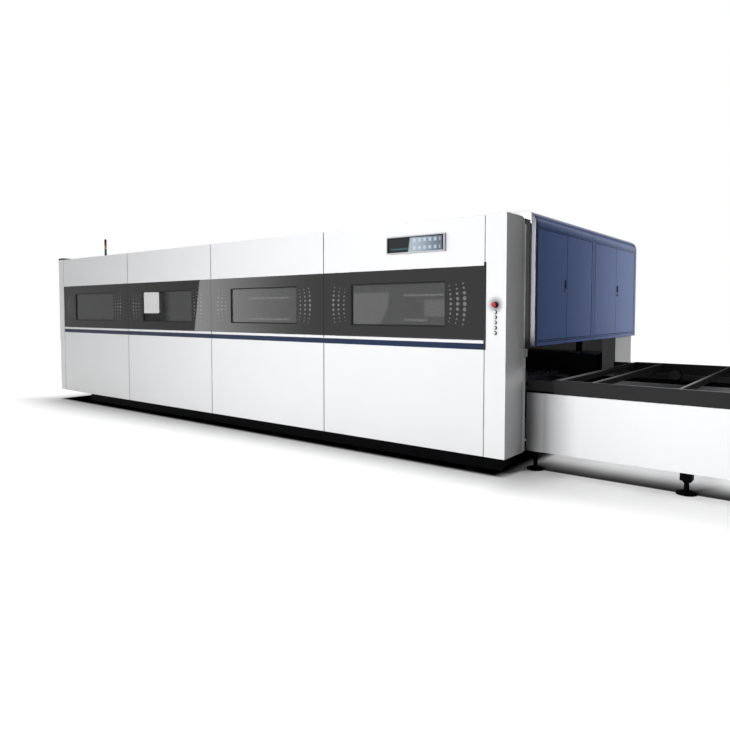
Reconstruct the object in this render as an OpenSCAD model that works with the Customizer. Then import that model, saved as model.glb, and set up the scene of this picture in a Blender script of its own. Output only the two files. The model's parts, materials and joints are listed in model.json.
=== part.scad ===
// Enclosed sheet-metal laser cutter with a two-level exchange table at its right-hand end.
// Inside the modules X = 0 is the control column's end face, Y = 0 the front and Z = 0 the floor.

/* [Enclosure] */
// Number of window bays along the front
bay_count = 4; // [2:1:6]
// Length of one bay
bay_pitch = 1750; // [1600:10:1900]
// Width of the left corner post
post_w = 165; // [80:5:200]
// Distance from the table's far face to the machine's rear
rear_margin = 700; // [520:5:800]
// Height of the open space under the panels
plinth_h = 145; // [130:5:180]
// Height of the lower panels, up to the window band
lower_panel_h = 950; // [900:5:1000]
// Height of the dark window band
band_h = 605; // [540:5:680]
// Height of the upper panels
upper_panel_h = 400; // [320:5:480]
// Thickness of every outer panel
panel_t = 30; // [24:1:40]
// Width of the seam between two panels
seam = 4; // [2:0.5:8]
// Chamfer along the upright edges of the front panels
panel_chamfer = 5; // [2:0.5:10]

/* [Front trim] */
// Height of the coloured stripe
stripe_h = 50; // [20:1:60]
// Distance from the stripe up to the window band
stripe_drop = 26; // [15:1:60]
// Thickness of the stripe
stripe_t = 4; // [2:0.5:8]
// Depth of the stripe's groove in the panels
groove_d = 3; // [1:0.5:6]

/* [Windows] */
// Clear width of one window
window_w = 1035; // [800:5:1200]
// Clear height of one window
window_h = 385; // [300:5:430]
// Distance from the bay's left edge to the window
window_left = 348; // [200:1:380]
// Distance from the band's lower edge to the window
window_rise = 105; // [60:1:110]
// Corner radius of the window
window_r = 16; // [6:1:30]
// Depth of the pane behind the face of the band
pane_depth = 14; // [6:1:18]
// Thickness of the pane
pane_t = 8; // [4:1:12]
// Width of the rebate that the pane is seated in
pane_rebate = 18; // [10:1:30]

/* [End window] */
// Width of the window in the left end wall
end_window_w = 600; // [400:10:800]
// Height of that window
end_window_h = 690; // [300:10:740]
// Distance of that window behind the front
end_window_y = 1140; // [700:10:1500]
// Height of that window's lower edge above the floor
end_window_z = 980; // [900:10:1200]

/* [Control column] */
// Width of the column along the front
column_w = 185; // [170:5:260]
// Depth of the column
column_d = 358; // [320:1:360]
// Height of the column above the front panels
column_rise = 10; // [2:1:40]
// Radius of the column's upper rear corner
column_r = 80; // [30:5:140]
// Radius of the column's upright edges at its end face
column_edge_r = 22; // [6:1:40]
// Distance of the row of buttons from the column's end face
button_inset = 92; // [60:1:110]
// Height of the lowest button
button_z = 1158; // [1100:1:1200]
// Distance between two buttons
button_pitch = 42; // [36:1:50]
// Number of push buttons
button_count = 5; // [1:1:6]
// Radius of a button's cap
button_r = 11; // [8:0.5:13]
// Radius of a button's bezel
bezel_r = 15; // [14:0.5:17]
// Height of a button's bezel
bezel_h = 10; // [8:0.5:14]
// Travel of a push button
button_travel = 3; // [2:0.5:4]
// Distance from the top button to the emergency stop
estop_gap = 58; // [50:1:80]
// Radius of the emergency stop's head
estop_r = 20; // [17:0.5:24]
// Radius of the emergency stop's stem
estop_stem_r = 9; // [6:0.5:12]
// Travel of the emergency stop
estop_travel = 5; // [3:0.5:6]

/* [Display] */
// Width of the display
display_w = 602; // [400:2:700]
// Height of the display
display_h = 152; // [100:2:200]
// Depth of the display in front of the panel
display_d = 26; // [15:1:40]
// Distance from the control column to the display
display_inset = 367; // [250:1:500]
// Distance from the upper panel's lower edge to the display
display_rise = 138; // [60:1:180]
// Width of the display's frame
display_frame = 10; // [6:1:20]

/* [Cabinet] */
// Height of the cabinet's underside above the floor
cabinet_z = 1035; // [1000:5:1080]
// Height of the cabinet above the front panels
cabinet_rise = 85; // [60:5:120]
// Distance of the cabinet's doors in front of the column's end face
cabinet_proud = 43; // [30:1:60]
// Depth of the cabinet
cabinet_d = 600; // [500:10:700]
// Width of the recessed post between column and cabinet
portal_w = 100; // [60:5:140]
// Depth of that post's face behind the column's end face
portal_recess = 4; // [4:1:30]
// Radius of the cabinet's upper edge
cabinet_r = 115; // [60:5:140]
// Thickness of the cover plate on the cabinet's near side
cheek_t = 10; // [6:1:16]
// Thickness of the cabinet's near side behind that plate
near_side_t = 35; // [30:1:50]
// Thickness of the cabinet's far side
far_side_t = 75; // [40:1:90]
// Thickness of the cabinet's plates
plate_t = 25; // [16:1:30]
// Depth of the bars that carry the hinge pins
hinge_bar_d = 30; // [28:1:40]
// Width of the post between the two pairs of doors
mullion_w = 90; // [60:5:120]
// Distance from the cabinet's near end to that post
mullion_in = 1431; // [1350:1:1500]
// Height of the sill under the doors
sill_h = 44; // [36:1:60]
// Height of the head above the doors
head_h = 150; // [145:1:180]
// Thickness of a door leaf
leaf_t = 20; // [16:1:26]
// Gap round a door leaf
leaf_gap = 5; // [4:0.5:7]
// Radius of a hinge pin
hinge_pin_r = 5; // [3:0.5:6]
// Length of a hinge pin
hinge_pin_l = 12; // [8:1:20]
// Distance of a lever's pivot from the leaf's free edge
lever_inset = 45; // [30:1:90]
// Height of a lever's pivot above the leaf's lower edge
lever_rise = 465; // [300:5:600]
// Length of a lever between its end centres
lever_l = 61; // [40:1:100]
// Radius of a lever's pivot end
lever_r = 7.5; // [7:0.5:12]
// Radius of a lever's pivot pin
lever_pin_r = 5; // [3:0.5:6]
// Thickness of a lever
lever_t = 8; // [6:1:20]
// Distance from a lever's pivot down to the lock
lock_drop = 33; // [26:1:60]
// Radius of the lock's barrel
lock_r = 11; // [8:0.5:14]

/* [Inside the cabinet] */
// Width of the laser resonator
source_w = 565; // [400:5:600]
// Height of the laser resonator
source_h = 640; // [500:10:760]
// Depth of the laser resonator
source_d = 460; // [350:10:470]
// Distance of the resonator from the cabinet's near side
source_inset = 75; // [40:5:120]
// Number of cooling slots in the resonator
slot_count = 8; // [4:1:10]
// Distance between two cooling slots
slot_pitch = 32; // [20:1:40]
// Number of servo drives in a row
drive_count = 6; // [4:1:8]
// Depth of the large drives
drive_d = 216; // [120:2:240]
// Height of the large drives
drive_h = 330; // [200:5:360]
// Depth of the small drives
small_drive_d = 136; // [80:2:200]
// Distance of the drives' plate from the compartment's sides
rack_margin = 80; // [40:5:120]

/* [Cutting bed] */
// Width of a bed side
bed_w = 222; // [200:2:260]
// Height of the bed's top above the floor
bed_z = 822; // [790:2:850]
// Height of the bed sides' upper beam
bed_beam_h = 166; // [120:2:200]
// Depth of the ledge in the beam's inner face
bed_ledge_d = 20; // [8:1:30]
// Height of the ledge below the bed's top
bed_ledge_drop = 93; // [60:1:110]
// Width of the web under the beam
bed_web_w = 140; // [100:2:180]
// Gap between the bed sides and the pallets
bed_gap = 25; // [15:1:40]
// Width of a guide rail
guide_w = 30; // [20:1:40]
// Height of a guide rail
guide_h = 28; // [20:1:40]
// Half length of a gantry truck
truck_half = 300; // [240:10:360]
// Width of a gantry truck
truck_w = 130; // [100:2:150]
// Height of a gantry truck
truck_h = 150; // [120:5:180]
// Height of a gantry motor
motor_h = 190; // [120:5:240]
// Half width of the gantry beam
gantry_half = 140; // [100:5:180]
// Height of the gantry beam
gantry_h = 300; // [260:5:360]
// Distance of the parked gantry from the left end of the machine
gantry_park = 1050; // [960:10:1200]
// Half width of the carriage
carriage_half = 200; // [150:5:260]
// Radius of the cutting head
head_r = 45; // [30:1:60]
// Height of the lowered nozzle above the floor
nozzle_z = 778; // [764:1:800]

/* [Exchange table] */
// Length of the table in front of the column's end face
table_reach = 4780; // [4600:10:5200]
// Distance of the table's near face behind the machine's front
table_y = 367; // [362:1:380]
// Width of the table
table_w = 2423; // [2300:1:2440]
// Height of the table's side panels above the floor
table_panel_top = 653; // [630:1:670]
// Height of the lower edge of the table's side panels
table_panel_z = 163; // [150:1:200]
// Thickness of the table's side panels
table_panel_t = 20; // [12:1:26]
// Gap between the machine and the table's side panels
table_gap = 20; // [12:1:60]
// Height of the table's beams
table_beam_h = 100; // [80:2:140]
// Number of feet along one side of the table
table_feet = 5; // [3:1:7]
// Distance of the first foot from the column's end face
foot_first = 80; // [70:1:200]
// Number of feet along one side of the enclosure
machine_feet = 6; // [4:1:9]
// Radius of a foot's pad
pad_r = 72; // [50:1:90]
// Height of a foot's pad
pad_h = 30; // [20:1:36]
// Radius of a foot's threaded stem
stem_r = 18; // [12:1:24]
// Height of the block above a table foot
foot_block_h = 61; // [40:1:70]
// Width of the block above a table foot
foot_block_w = 80; // [70:2:120]

/* [Pallets] */
// Distance of the outer pallet from the column's end face
pallet_x = 250; // [200:5:300]
// Length of a pallet
pallet_l = 4300; // [4000:10:4350]
// Height of the outer pallet's top above the floor
pallet_top = 766; // [744:1:780]
// Height of the outer pallet's side rails
pallet_rail_h = 109; // [80:1:110]
// Width of the outer pallet's side rails
pallet_rail_w = 60; // [40:1:80]
// Travel of the pallets between table and machine
pallet_stroke = 5000; // [4900:10:5100]
// Distance between two cross bars
bar_pitch = 635; // [500:5:800]
// Thickness of a cross bar
bar_t = 16; // [12:1:50]
// Height of a cross bar
bar_h = 60; // [40:1:70]
// Length of the coupling arms at the pallet's inner end
arm_l = 230; // [150:5:250]
// Height of the upper track above the floor
upper_track_z = 597; // [590:1:605]
// Height of the lower track above the floor
lower_track_z = 440; // [425:1:445]
// Radius of the outer pallet's wheels
outer_wheel_r = 55; // [45:1:60]
// Radius of the inner pallet's wheels
inner_wheel_r = 45; // [40:1:50]
// Width of a wheel
wheel_w = 30; // [20:1:36]
// Radius of a wheel's axle
axle_r = 10; // [8:0.5:14]
// Distance of a wheel from the pallet's end
wheel_inset = 420; // [300:10:700]
// Thickness of a wheel's bracket
bracket_t = 10; // [8:0.5:14]
// Thickness of a track's plates
track_t = 20; // [14:1:24]
// Height of the slats
slat_h = 70; // [50:1:75]
// Thickness of a slat
slat_t = 6; // [3:0.5:8]
// Distance between two slats
slat_pitch = 160; // [100:5:220]
// Distance between two points along a slat
tooth_pitch = 120; // [80:5:160]
// Depth of the notches between the points of a slat
tooth_h = 18; // [8:1:25]

/* [Tower light] */
// Distance of the tower light from the left end of the machine
tower_left = 840; // [600:10:1400]
// Distance of the tower light behind the front
tower_back = 300; // [150:10:600]
// Radius of the tower light
tower_r = 16; // [12:0.5:30]
// Height of the tower light's base
tower_base_h = 78; // [40:1:120]
// Height of one lens
lens_h = 58; // [40:1:80]
// Height of the cap
tower_cap_h = 34; // [20:1:50]

/* [Fits] */
// Clearance between pieces that slide past each other
slide_gap = 0.4; // [0.3:0.05:0.8]
// Radial clearance of pins and axles in their bores
pin_fit = 0.05; // [0.02:0.01:0.1]
// Seam between plates that are welded together
weld_gap = 0.4; // [0.2:0.05:0.8]

/* [Hidden] */
$fn = 48;
LENSES = ["green", "amber", "red"];

white_paint = [0.93, 0.93, 0.94];
grey_paint = [0.46, 0.47, 0.48];
pale_grey_paint = [0.74, 0.75, 0.76];
blue_paint = [0.25, 0.33, 0.50];
black_paint = [0.07, 0.07, 0.08];
dark_band = [0.12, 0.12, 0.13];
steel = [0.62, 0.63, 0.65];

// Overall places
machine_w = table_y + table_w + rear_margin;
enclosure_l = post_w + bay_count * bay_pitch + column_w;
x_face = (enclosure_l - table_reach) / 2;
y_front = -machine_w / 2;
x_left = -enclosure_l;
x_bays = x_left + post_w;
x_bays_end = -column_w;
z_band = plinth_h + lower_panel_h;
z_upper = z_band + band_h;
z_top = z_upper + upper_panel_h;
z_stripe = z_band - stripe_drop - stripe_h;
y_rear = machine_w - panel_t;

// Base
base_beam_w = 120;
base_setback = 60;
base_recess = 800;
base_end = -40;
apron_t = 12;
base_h = 75;
z_base = plinth_h - base_h;
pan_t = 10;
z_pan = plinth_h + pan_t;
frame_tube = 60;
foot_margin = 290;

// Cabinet
x_cab = cabinet_proud;
x_cab_back = cabinet_proud - cabinet_d;
y_portal = column_d;
y_cab = column_d + portal_w;
z_cab_top = z_top + cabinet_rise;
y_far_side = machine_w - far_side_t;
y_mullion = y_cab + mullion_in;
y_inside = y_cab + cheek_t + near_side_t;
y_part = y_mullion + mullion_w / 2;
modules_y = [[y_inside, y_part - seam / 2], [y_part + seam / 2, y_far_side]];
pair_a = [y_inside + leaf_gap, y_mullion - leaf_gap];
pair_b = [y_mullion + mullion_w + leaf_gap, y_far_side - leaf_gap];
z_leaf = cabinet_z + sill_h + leaf_gap;
z_leaf_top = z_cab_top - head_h - leaf_gap;
leaf_a_w = (pair_a[1] - pair_a[0] - leaf_gap) / 2;
leaf_b_w = (pair_b[1] - pair_b[0] - leaf_gap) / 2;
back_t = 0.8 * plate_t;
x_leaf = x_cab - leaf_t / 2;
hinge_inset = leaf_t / 2;
hinge_ys = [pair_a[0] + hinge_inset, pair_a[1] - hinge_inset,
            pair_b[0] + hinge_inset, pair_b[1] - hinge_inset];
leaf_ws = [leaf_a_w, leaf_a_w, leaf_b_w, leaf_b_w];
z_lever = z_leaf + lever_rise;
lever_pin_l = leaf_t * 0.7;
lever_tip_r = lever_r - 1;

// Table, tracks and pallets
y_mid = table_y + table_w / 2;
y_table_far = table_y + table_w;
z_bar = pallet_top - bar_h;
z_rail = pallet_top - pallet_rail_h;
outer_axle_z = upper_track_z + outer_wheel_r + slide_gap;
inner_axle_z = lower_track_z + inner_wheel_r + slide_gap;
wheel_gap = 3;
outer_rail_in = table_y + pallet_rail_w;
outer_wheel_y = outer_rail_in + bracket_t + wheel_gap;
shelf_margin = 4;
upper_shelf = [outer_wheel_y - shelf_margin, outer_wheel_y + wheel_w + shelf_margin];
web_t = 10;
track_web = [upper_shelf[1] + weld_gap, upper_shelf[1] + weld_gap + web_t];
inner_gap = 8;
inner_rail_w = 50;
inner_rail_y = track_web[1] + inner_gap;
inner_rail_in = inner_rail_y + inner_rail_w;
inner_wheel_y = inner_rail_in + bracket_t + wheel_gap;
lower_shelf = [track_web[0], inner_wheel_y + wheel_w + shelf_margin];
inner_rail_h = 90;
z_inner_rail = inner_axle_z + 15;
inner_bar_h = 50;
z_inner_bar = z_inner_rail + 20;
z_runner = z_inner_bar + inner_bar_h + weld_gap;
runner_h = 12;
runner_w = 40;
z_slat = z_runner + runner_h;
slat_y = [inner_rail_in + bracket_t + 60, 2 * y_mid - inner_rail_in - bracket_t - 60];
x_inner = pallet_x - pallet_stroke;
track_x = [x_inner - 100, table_reach - 60];
table_x = [table_gap, table_reach - table_panel_t - weld_gap];
foot_pitch = (table_reach - 2 * foot_first) / (table_feet - 1);
foot_xs = [for (i = [0:table_feet - 1]) foot_first + i * foot_pitch];
foot_y = table_y + table_panel_t + foot_block_w / 2;
z_block = table_panel_z - foot_block_h;
z_beam_top = table_panel_z + table_beam_h;
track_post_w = 80;
wheel_xs = [wheel_inset, pallet_l - wheel_inset];
bracket_half = 45;
bracket_drop = 30;

// Bed and gantry
bed_near = [table_y - bed_gap - bed_w, table_y - bed_gap];
bed_x = [x_left + 150, x_bays_end - 15];
guide_y = (bed_near[0] + bed_near[1] - bed_ledge_d) / 2;
rack_y = guide_y + 42;
rack_w = 28;
rack_h = 24;
z_truck = bed_z + guide_h + slide_gap;
z_gantry = z_truck + truck_h;
gantry_x = x_left + gantry_park;
truck_y = [guide_y - truck_w / 2, guide_y + truck_w / 2];
gantry_rail_t = 20;
gantry_rail_h = 30;
gantry_rail_zs = [z_gantry + 40, z_gantry + gantry_h - 40 - gantry_rail_h];
carriage_x = gantry_x + gantry_half + gantry_rail_t + slide_gap;
carriage_t = 30;
ram_d = 70;
ram_half = 90;
head_x = carriage_x + carriage_t + ram_d + slide_gap;
head_plate_t = 20;
head_axis_x = head_x + head_plate_t + head_r + 10;

module place() translate([x_face, y_front, 0]) children();

// A box between two corners, given as the ranges along X, Y and Z
module block(x, y, z)
    translate([x[0], y[0], z[0]]) cube([x[1] - x[0], y[1] - y[0], z[1] - z[0]]);

// The children, and their mirror image across the table's middle plane
module both_sides() {
    children();
    translate([0, 2 * y_mid, 0]) mirror([0, 1, 0]) children();
}

// The children, and their mirror image across the machine's middle plane
module front_and_rear() {
    children();
    at_rear() children();
}

// A shape drawn in XZ and extruded towards the rear
module extrude_back(depth)
    translate([0, depth, 0]) rotate([90, 0, 0]) linear_extrude(depth) children();

// A shape drawn in YZ and extruded along X
module extrude_along(length)
    rotate([90, 0, 90]) linear_extrude(length) children();

// A rectangle with round corners
module round_rect(w, h, r) {
    translate([r, 0]) square([w - 2 * r, h]);
    translate([0, r]) square([w, h - 2 * r]);
    for (x = [r, w - r], y = [r, h - r])
        translate([x, y]) circle(r);
}

// A rectangle whose upper right corner alone is round
module shoulder_rect(w, h, r) {
    square([w - r, h]);
    square([w, h - r]);
    translate([w - r, h - r]) circle(r);
}

// An upright front panel with chamfered edges
module front_panel(x, z) {
    c = panel_chamfer;
    translate([0, 0, z[0]])
        linear_extrude(z[1] - z[0])
            polygon([[x[0], panel_t], [x[0], c], [x[0] + c, 0],
                     [x[1] - c, 0], [x[1], c], [x[1], panel_t]]);
}

// The X range of bay i, counted from 0 at the left
function bay(i) = [x_bays + i * bay_pitch + seam / 2, x_bays + (i + 1) * bay_pitch - seam / 2];

// The bays along the front, and those along the rear, where the last one ends at the cabinet
front_bays = [for (i = [0:bay_count - 1]) bay(i)];
rear_end = [x_bays + (bay_count - 1) * bay_pitch + seam / 2, x_cab_back - seam / 2];
rear_bays = [for (i = [0:bay_count - 1]) i < bay_count - 1 ? bay(i) : rear_end];

// The children, turned from the front to the rear
module at_rear() translate([0, machine_w, 0]) mirror([0, 1, 0]) children();

// Long beams, each with an apron in front of its feet
module base_beams() color(black_paint) place() {
    x = [x_left + base_recess, base_end];
    z_apron = pad_h + 4;
    front_and_rear() {
        block(x, [base_setback, base_setback + base_beam_w], [z_base, plinth_h]);
        block(x, [base_setback, base_setback + apron_t], [z_apron, z_base - weld_gap]);
    }
}

module floor_pan() color(steel) place()
    block([x_left + panel_t, x_bays_end], [panel_t, y_rear], [plinth_h, z_pan]);

machine_foot_x = x_left + base_recess + foot_margin;
machine_foot_pitch = (base_end - foot_margin - machine_foot_x) / (machine_feet - 1);
machine_foot_y = base_setback + base_beam_w / 2;

module at_machine_feet()
    front_and_rear()
        for (i = [0:machine_feet - 1])
            translate([machine_foot_x + i * machine_foot_pitch, machine_foot_y, 0]) children();

module at_table_feet()
    both_sides()
        for (x = foot_xs)
            translate([x, foot_y, 0]) children();

module foot_pad() {
    rim_h = pad_h * 0.45;
    cylinder(r = pad_r, h = rim_h);
    translate([0, 0, rim_h]) cylinder(r1 = pad_r, r2 = stem_r * 1.5, h = pad_h - rim_h);
}

module foot_pads() color(black_paint) place() {
    at_machine_feet() foot_pad();
    at_table_feet() foot_pad();
}

// A threaded stem with its lock nut under the frame
module foot_stem(z_frame) {
    nut_h = stem_r * 0.9;
    translate([0, 0, pad_h]) cylinder(r = stem_r, h = z_frame - pad_h);
    translate([0, 0, z_frame - nut_h]) cylinder(r = stem_r * 1.6, h = nut_h, $fn = 6);
}

module foot_stems() color(steel) place() {
    at_machine_feet() foot_stem(z_base);
    at_table_feet() foot_stem(z_block);
}

// Upright tubes behind the seams, with a roof tube across each pair
module frame_posts() color(black_paint) place() {
    z_tie = z_top - panel_t - frame_tube;
    for (i = [1:bay_count]) {
        x_seam = i < bay_count ? x_bays + i * bay_pitch : x_cab_back - frame_tube;
        x = [x_seam - frame_tube / 2, x_seam + frame_tube / 2];
        front_and_rear()
            block(x, [panel_t, panel_t + frame_tube], [z_pan, z_tie - weld_gap]);
        block(x, [panel_t, y_rear], [z_tie, z_tie + frame_tube]);
    }
}

// A row of lower panels with the groove for the stripe
module lower_row(bays)
    difference() {
        for (x = bays) front_panel(x, [plinth_h, z_band]);
        block([x_left, 0], [-1, groove_d], [z_stripe, z_stripe + stripe_h]);
    }

module upper_row(bays)
    for (x = bays) front_panel(x, [z_upper, z_top]);

module front_lower_panels() color(white_paint) place() lower_row(front_bays);

module front_upper_panels() color(white_paint) place() upper_row(front_bays);

module stripe_row(bays)
    for (x = bays) block(x, [groove_d - stripe_t, groove_d], [z_stripe, z_stripe + stripe_h]);

module accent_stripe() color([0.09, 0.13, 0.30]) place() {
    stripe_row(front_bays);
    at_rear() stripe_row(rear_bays);
}

// Window opening i, widened on every side
module window_shape(i, grow)
    translate([x_bays + i * bay_pitch + window_left - grow, z_band + window_rise - grow])
        round_rect(window_w + 2 * grow, window_h + 2 * grow, window_r + grow);

// The window bands of some bays, of which the first few have a window
module band_row(bays, windows)
    for (i = [0:len(bays) - 1])
        difference() {
            block(bays[i], [0, panel_t], [z_band, z_upper]);
            if (i < windows) {
                translate([0, -1, 0]) extrude_back(panel_t + 2) window_shape(i, 0);
                translate([0, pane_depth, 0]) extrude_back(panel_t) window_shape(i, pane_rebate);
            }
        }

module window_bands() color(dark_band) place() {
    band_row(front_bays, bay_count);
    at_rear() band_row(rear_bays, bay_count - 1);
}

module pane_row(windows)
    for (i = [0:windows - 1])
        translate([0, pane_depth, 0]) extrude_back(pane_t) window_shape(i, pane_rebate - slide_gap);

// Outline of the end wall's window in YZ, widened on every side
module end_window_shape(grow)
    translate([end_window_y - grow, end_window_z - grow])
        round_rect(end_window_w + 2 * grow, end_window_h + 2 * grow, window_r + grow);

module window_panes() color([0.10, 0.16, 0.14]) place() {
    pane_row(bay_count);
    at_rear() pane_row(bay_count - 1);
    translate([x_left + pane_depth, 0, 0]) extrude_along(pane_t) end_window_shape(pane_rebate - slide_gap);
}

// Angle posts with a round outer corner, at the front and at the rear
module left_corner_post() color(white_paint) place()
    front_and_rear()
        translate([x_left, 0, plinth_h])
            linear_extrude(z_top - plinth_h)
                difference() {
                    union() {
                        translate([panel_t, 0]) square([post_w - panel_t - seam / 2, panel_t]);
                        translate([0, panel_t]) square([panel_t, post_w - panel_t]);
                        translate([panel_t, panel_t]) circle(panel_t);
                    }
                    translate([panel_t, panel_t]) square(post_w);
                }

module control_column() color(white_paint) place() {
    h = z_top + column_rise - plinth_h;
    w = column_w - seam / 2;
    translate([-w, 0, plinth_h])
        intersection() {
            extrude_along(w) shoulder_rect(column_d, h, column_r);
            linear_extrude(h) shoulder_rect(w, column_d, column_edge_r);
        }
}

module portal_post() color(grey_paint) place()
    block([x_cab_back, -portal_recess], [y_portal, y_cab], [cabinet_z, z_top]);

// Light-barrier head on the column's rear edge, beside the pallets' way out
module light_curtain() color(pale_grey_paint) place() {
    h = 70;
    w = 90;
    d = 24;
    z = cabinet_z - 15 - h;
    difference() {
        block([0, d], [column_d - w * 0.9, column_d + w * 0.1], [z, z + h]);
        block([d - 3, d + 1], [column_d - w * 0.7, column_d - w * 0.1], [z + 12, z + h - 12]);
    }
}

rear_column_l = 150;
rear_column_y = y_table_far + 76;

module rear_column() color(pale_grey_paint) place()
    block([-rear_column_l, 0], [rear_column_y, machine_w], [plinth_h, cabinet_z]);

module rear_panels() color(white_paint) place() {
    at_rear() {
        lower_row(rear_bays);
        upper_row(rear_bays);
    }
    block([x_cab_back, -rear_column_l], [y_rear, machine_w], [plinth_h, cabinet_z - seam]);
}

module roof_panels() color(white_paint) place() {
    x_start = x_left + panel_t;
    pitch = (x_cab_back - x_start) / bay_count;
    for (i = [0:bay_count - 1])
        block([x_start + i * pitch, x_start + (i + 1) * pitch - seam], [panel_t, y_rear],
              [z_top - panel_t, z_top]);
    block([x_cab_back, x_bays_end], [panel_t, y_portal], [z_top - panel_t, z_top]);
}

module left_end_wall() color(white_paint) place()
    difference() {
        block([x_left, x_left + panel_t], [post_w, machine_w - post_w], [plinth_h, z_top]);
        translate([x_left - 1, 0, 0]) extrude_along(panel_t + 2) end_window_shape(0);
        translate([x_left + pane_depth, 0, 0]) extrude_along(panel_t) end_window_shape(pane_rebate);
    }

// Rounded dark moulding along the roof's left edge
module roof_end_cap() color(black_paint) place() {
    w = 160;
    h = 27;
    translate([x_left, 8, z_top])
        extrude_back(y_rear - 16) {
            translate([h, 0]) square([w - 2 * h, h]);
            for (x = [h, w - h])
                intersection() {
                    translate([x, 0]) circle(h);
                    translate([x - h, 0]) square([2 * h, h]);
                }
        }
}

// Upright outline of the cabinet in XZ, with the rounded front edge
module cabinet_outline()
    translate([x_cab_back, cabinet_z])
        shoulder_rect(cabinet_d, z_cab_top - cabinet_z, cabinet_r);

module cabinet_cheek() color(white_paint) place()
    translate([0, y_cab, 0]) extrude_back(cheek_t) cabinet_outline();

module hinge_bores(z, depth)
    for (y = hinge_ys)
        translate([x_leaf, y, z]) cylinder(r = hinge_pin_r + pin_fit, h = depth);

module cabinet_roof() color(blue_paint) place()
    difference() {
        for (y = modules_y)
            translate([0, y[0], 0])
                extrude_back(y[1] - y[0])
                    difference() {
                        cabinet_outline();
                        translate([x_cab_back - 1, cabinet_z - 1])
                            square([cabinet_d + 2, z_cab_top - head_h - cabinet_z + 1]);
                        translate([x_cab_back - 1, cabinet_z])
                            shoulder_rect(cabinet_d - hinge_bar_d + 1, z_cab_top - plate_t - cabinet_z,
                                          cabinet_r - plate_t);
                    }
        hinge_bores(z_cab_top - head_h - 1, hinge_pin_l + 2);
    }

// Two modules side by side, each with a floor, a sill and half of the post between the doors
module cabinet_carcass() color(blue_paint) place() {
    x_bar = x_cab - hinge_bar_d;
    z_floor = cabinet_z + plate_t;
    z_ceiling = z_cab_top - plate_t;
    z_post = [cabinet_z + sill_h + weld_gap, z_cab_top - head_h];
    for (y = modules_y) {
        block([x_cab_back, x_bar - weld_gap], y, [cabinet_z, z_floor]);
        block([x_cab_back, x_cab_back + back_t], y, [z_floor + weld_gap, z_ceiling]);
        difference() {
            block([x_bar, x_cab], y, [cabinet_z, cabinet_z + sill_h]);
            hinge_bores(cabinet_z + sill_h - hinge_pin_l - 1, hinge_pin_l + 2);
        }
    }
    block([x_bar, x_cab], [y_mullion, modules_y[0][1]], z_post);
    block([x_bar, x_cab], [modules_y[1][0], y_mullion + mullion_w], z_post);
    block([x_cab_back + back_t + weld_gap, x_bar - weld_gap],
          [y_part - back_t / 2, y_part + back_t / 2], [z_floor + weld_gap, z_ceiling - cabinet_r]);
    translate([0, y_cab + cheek_t, 0]) extrude_back(near_side_t - weld_gap) cabinet_outline();
    translate([0, y_far_side + weld_gap, 0]) extrude_back(far_side_t - weld_gap) cabinet_outline();
}

// Resonator housing on the cabinet's floor, with cooling slots and two knobs on its face
module laser_source() color(pale_grey_paint) place() {
    x_back = x_cab_back + 2 * plate_t;
    x = [x_back, x_back + source_d];
    y = [y_inside + source_inset, y_inside + source_inset + source_w];
    z = [cabinet_z + plate_t, cabinet_z + plate_t + source_h];
    slot_d = slot_pitch / 5;
    slot_inset = source_w / 7;
    knob_r = slot_pitch * 0.4;
    difference() {
        block(x, y, z);
        for (i = [1:slot_count])
            translate([0, 0, z[0] + slot_pitch * (i + 1)])
                block([x[1] - slot_d, x[1] + 1], [y[0] + slot_inset, y[1] - slot_inset], [0, slot_pitch / 2]);
    }
    for (y_knob = [y[0] + slot_inset / 2, y[1] - slot_inset / 2])
        translate([x[1] - 1, y_knob, z[1] - source_h / 3])
            rotate([0, 90, 0]) cylinder(r = knob_r, h = slot_pitch);
}

// Back plate with a row of large servo drives below and a row of small ones above
module drive_rack() color(grey_paint) place() {
    x = x_cab_back + back_t;
    x_plate = x + 0.6 * plate_t;
    y = [pair_b[0] + rack_margin, pair_b[1] - rack_margin];
    z = [z_leaf + rack_margin / 2, z_leaf_top - rack_margin / 2];
    gap = rack_margin / 2;
    pitch = (y[1] - y[0]) / drive_count;
    block([x, x_plate], y, z);
    for (i = [0:drive_count - 1]) {
        y_drive = [y[0] + (i + 0.15) * pitch, y[0] + (i + 0.85) * pitch];
        block([x_plate - 1, x_plate + drive_d], y_drive, [z[0] + gap, z[0] + gap + drive_h]);
        block([x_plate - 1, x_plate + small_drive_d], y_drive, [z[0] + 3 * gap + drive_h, z[1] - gap]);
    }
}

// A leaf with its hinge axis on the Z axis, running towards +Y
module door_leaf(w) {
    translate([0, 0, z_leaf])
        linear_extrude(z_leaf_top - z_leaf) {
            circle(leaf_t / 2);
            translate([-leaf_t / 2, 0]) square([leaf_t, w - hinge_inset]);
        }
    for (z = [z_leaf - leaf_gap - hinge_pin_l, z_leaf_top - 1])
        translate([0, 0, z]) cylinder(r = hinge_pin_r, h = hinge_pin_l + leaf_gap + 1);
}

// Places of the two levers, on the first and on the last leaf
lever_ys = [pair_a[0] + leaf_a_w - lever_inset, pair_b[1] - leaf_b_w + lever_inset];

module cabinet_door(i) color(blue_paint) place() {
    opens_left = i % 2 == 0 ? 1 : 0;
    lever = i == 1 ? 0 : 1;
    has_lever = i == 1 || i == 4;
    difference() {
        translate([x_leaf, hinge_ys[i - 1], 0]) mirror([0, opens_left, 0]) door_leaf(leaf_ws[i - 1]);
        if (has_lever)
            translate([x_cab - lever_pin_l - 1, lever_ys[lever], z_lever])
                rotate([0, 90, 0]) cylinder(r = lever_pin_r + pin_fit, h = lever_pin_l + 2);
    }
    if (has_lever)
        translate([x_cab - 1, lever_ys[lever], z_lever - lock_drop])
            rotate([0, 90, 0]) cylinder(r = lock_r, h = 8);
}

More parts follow.
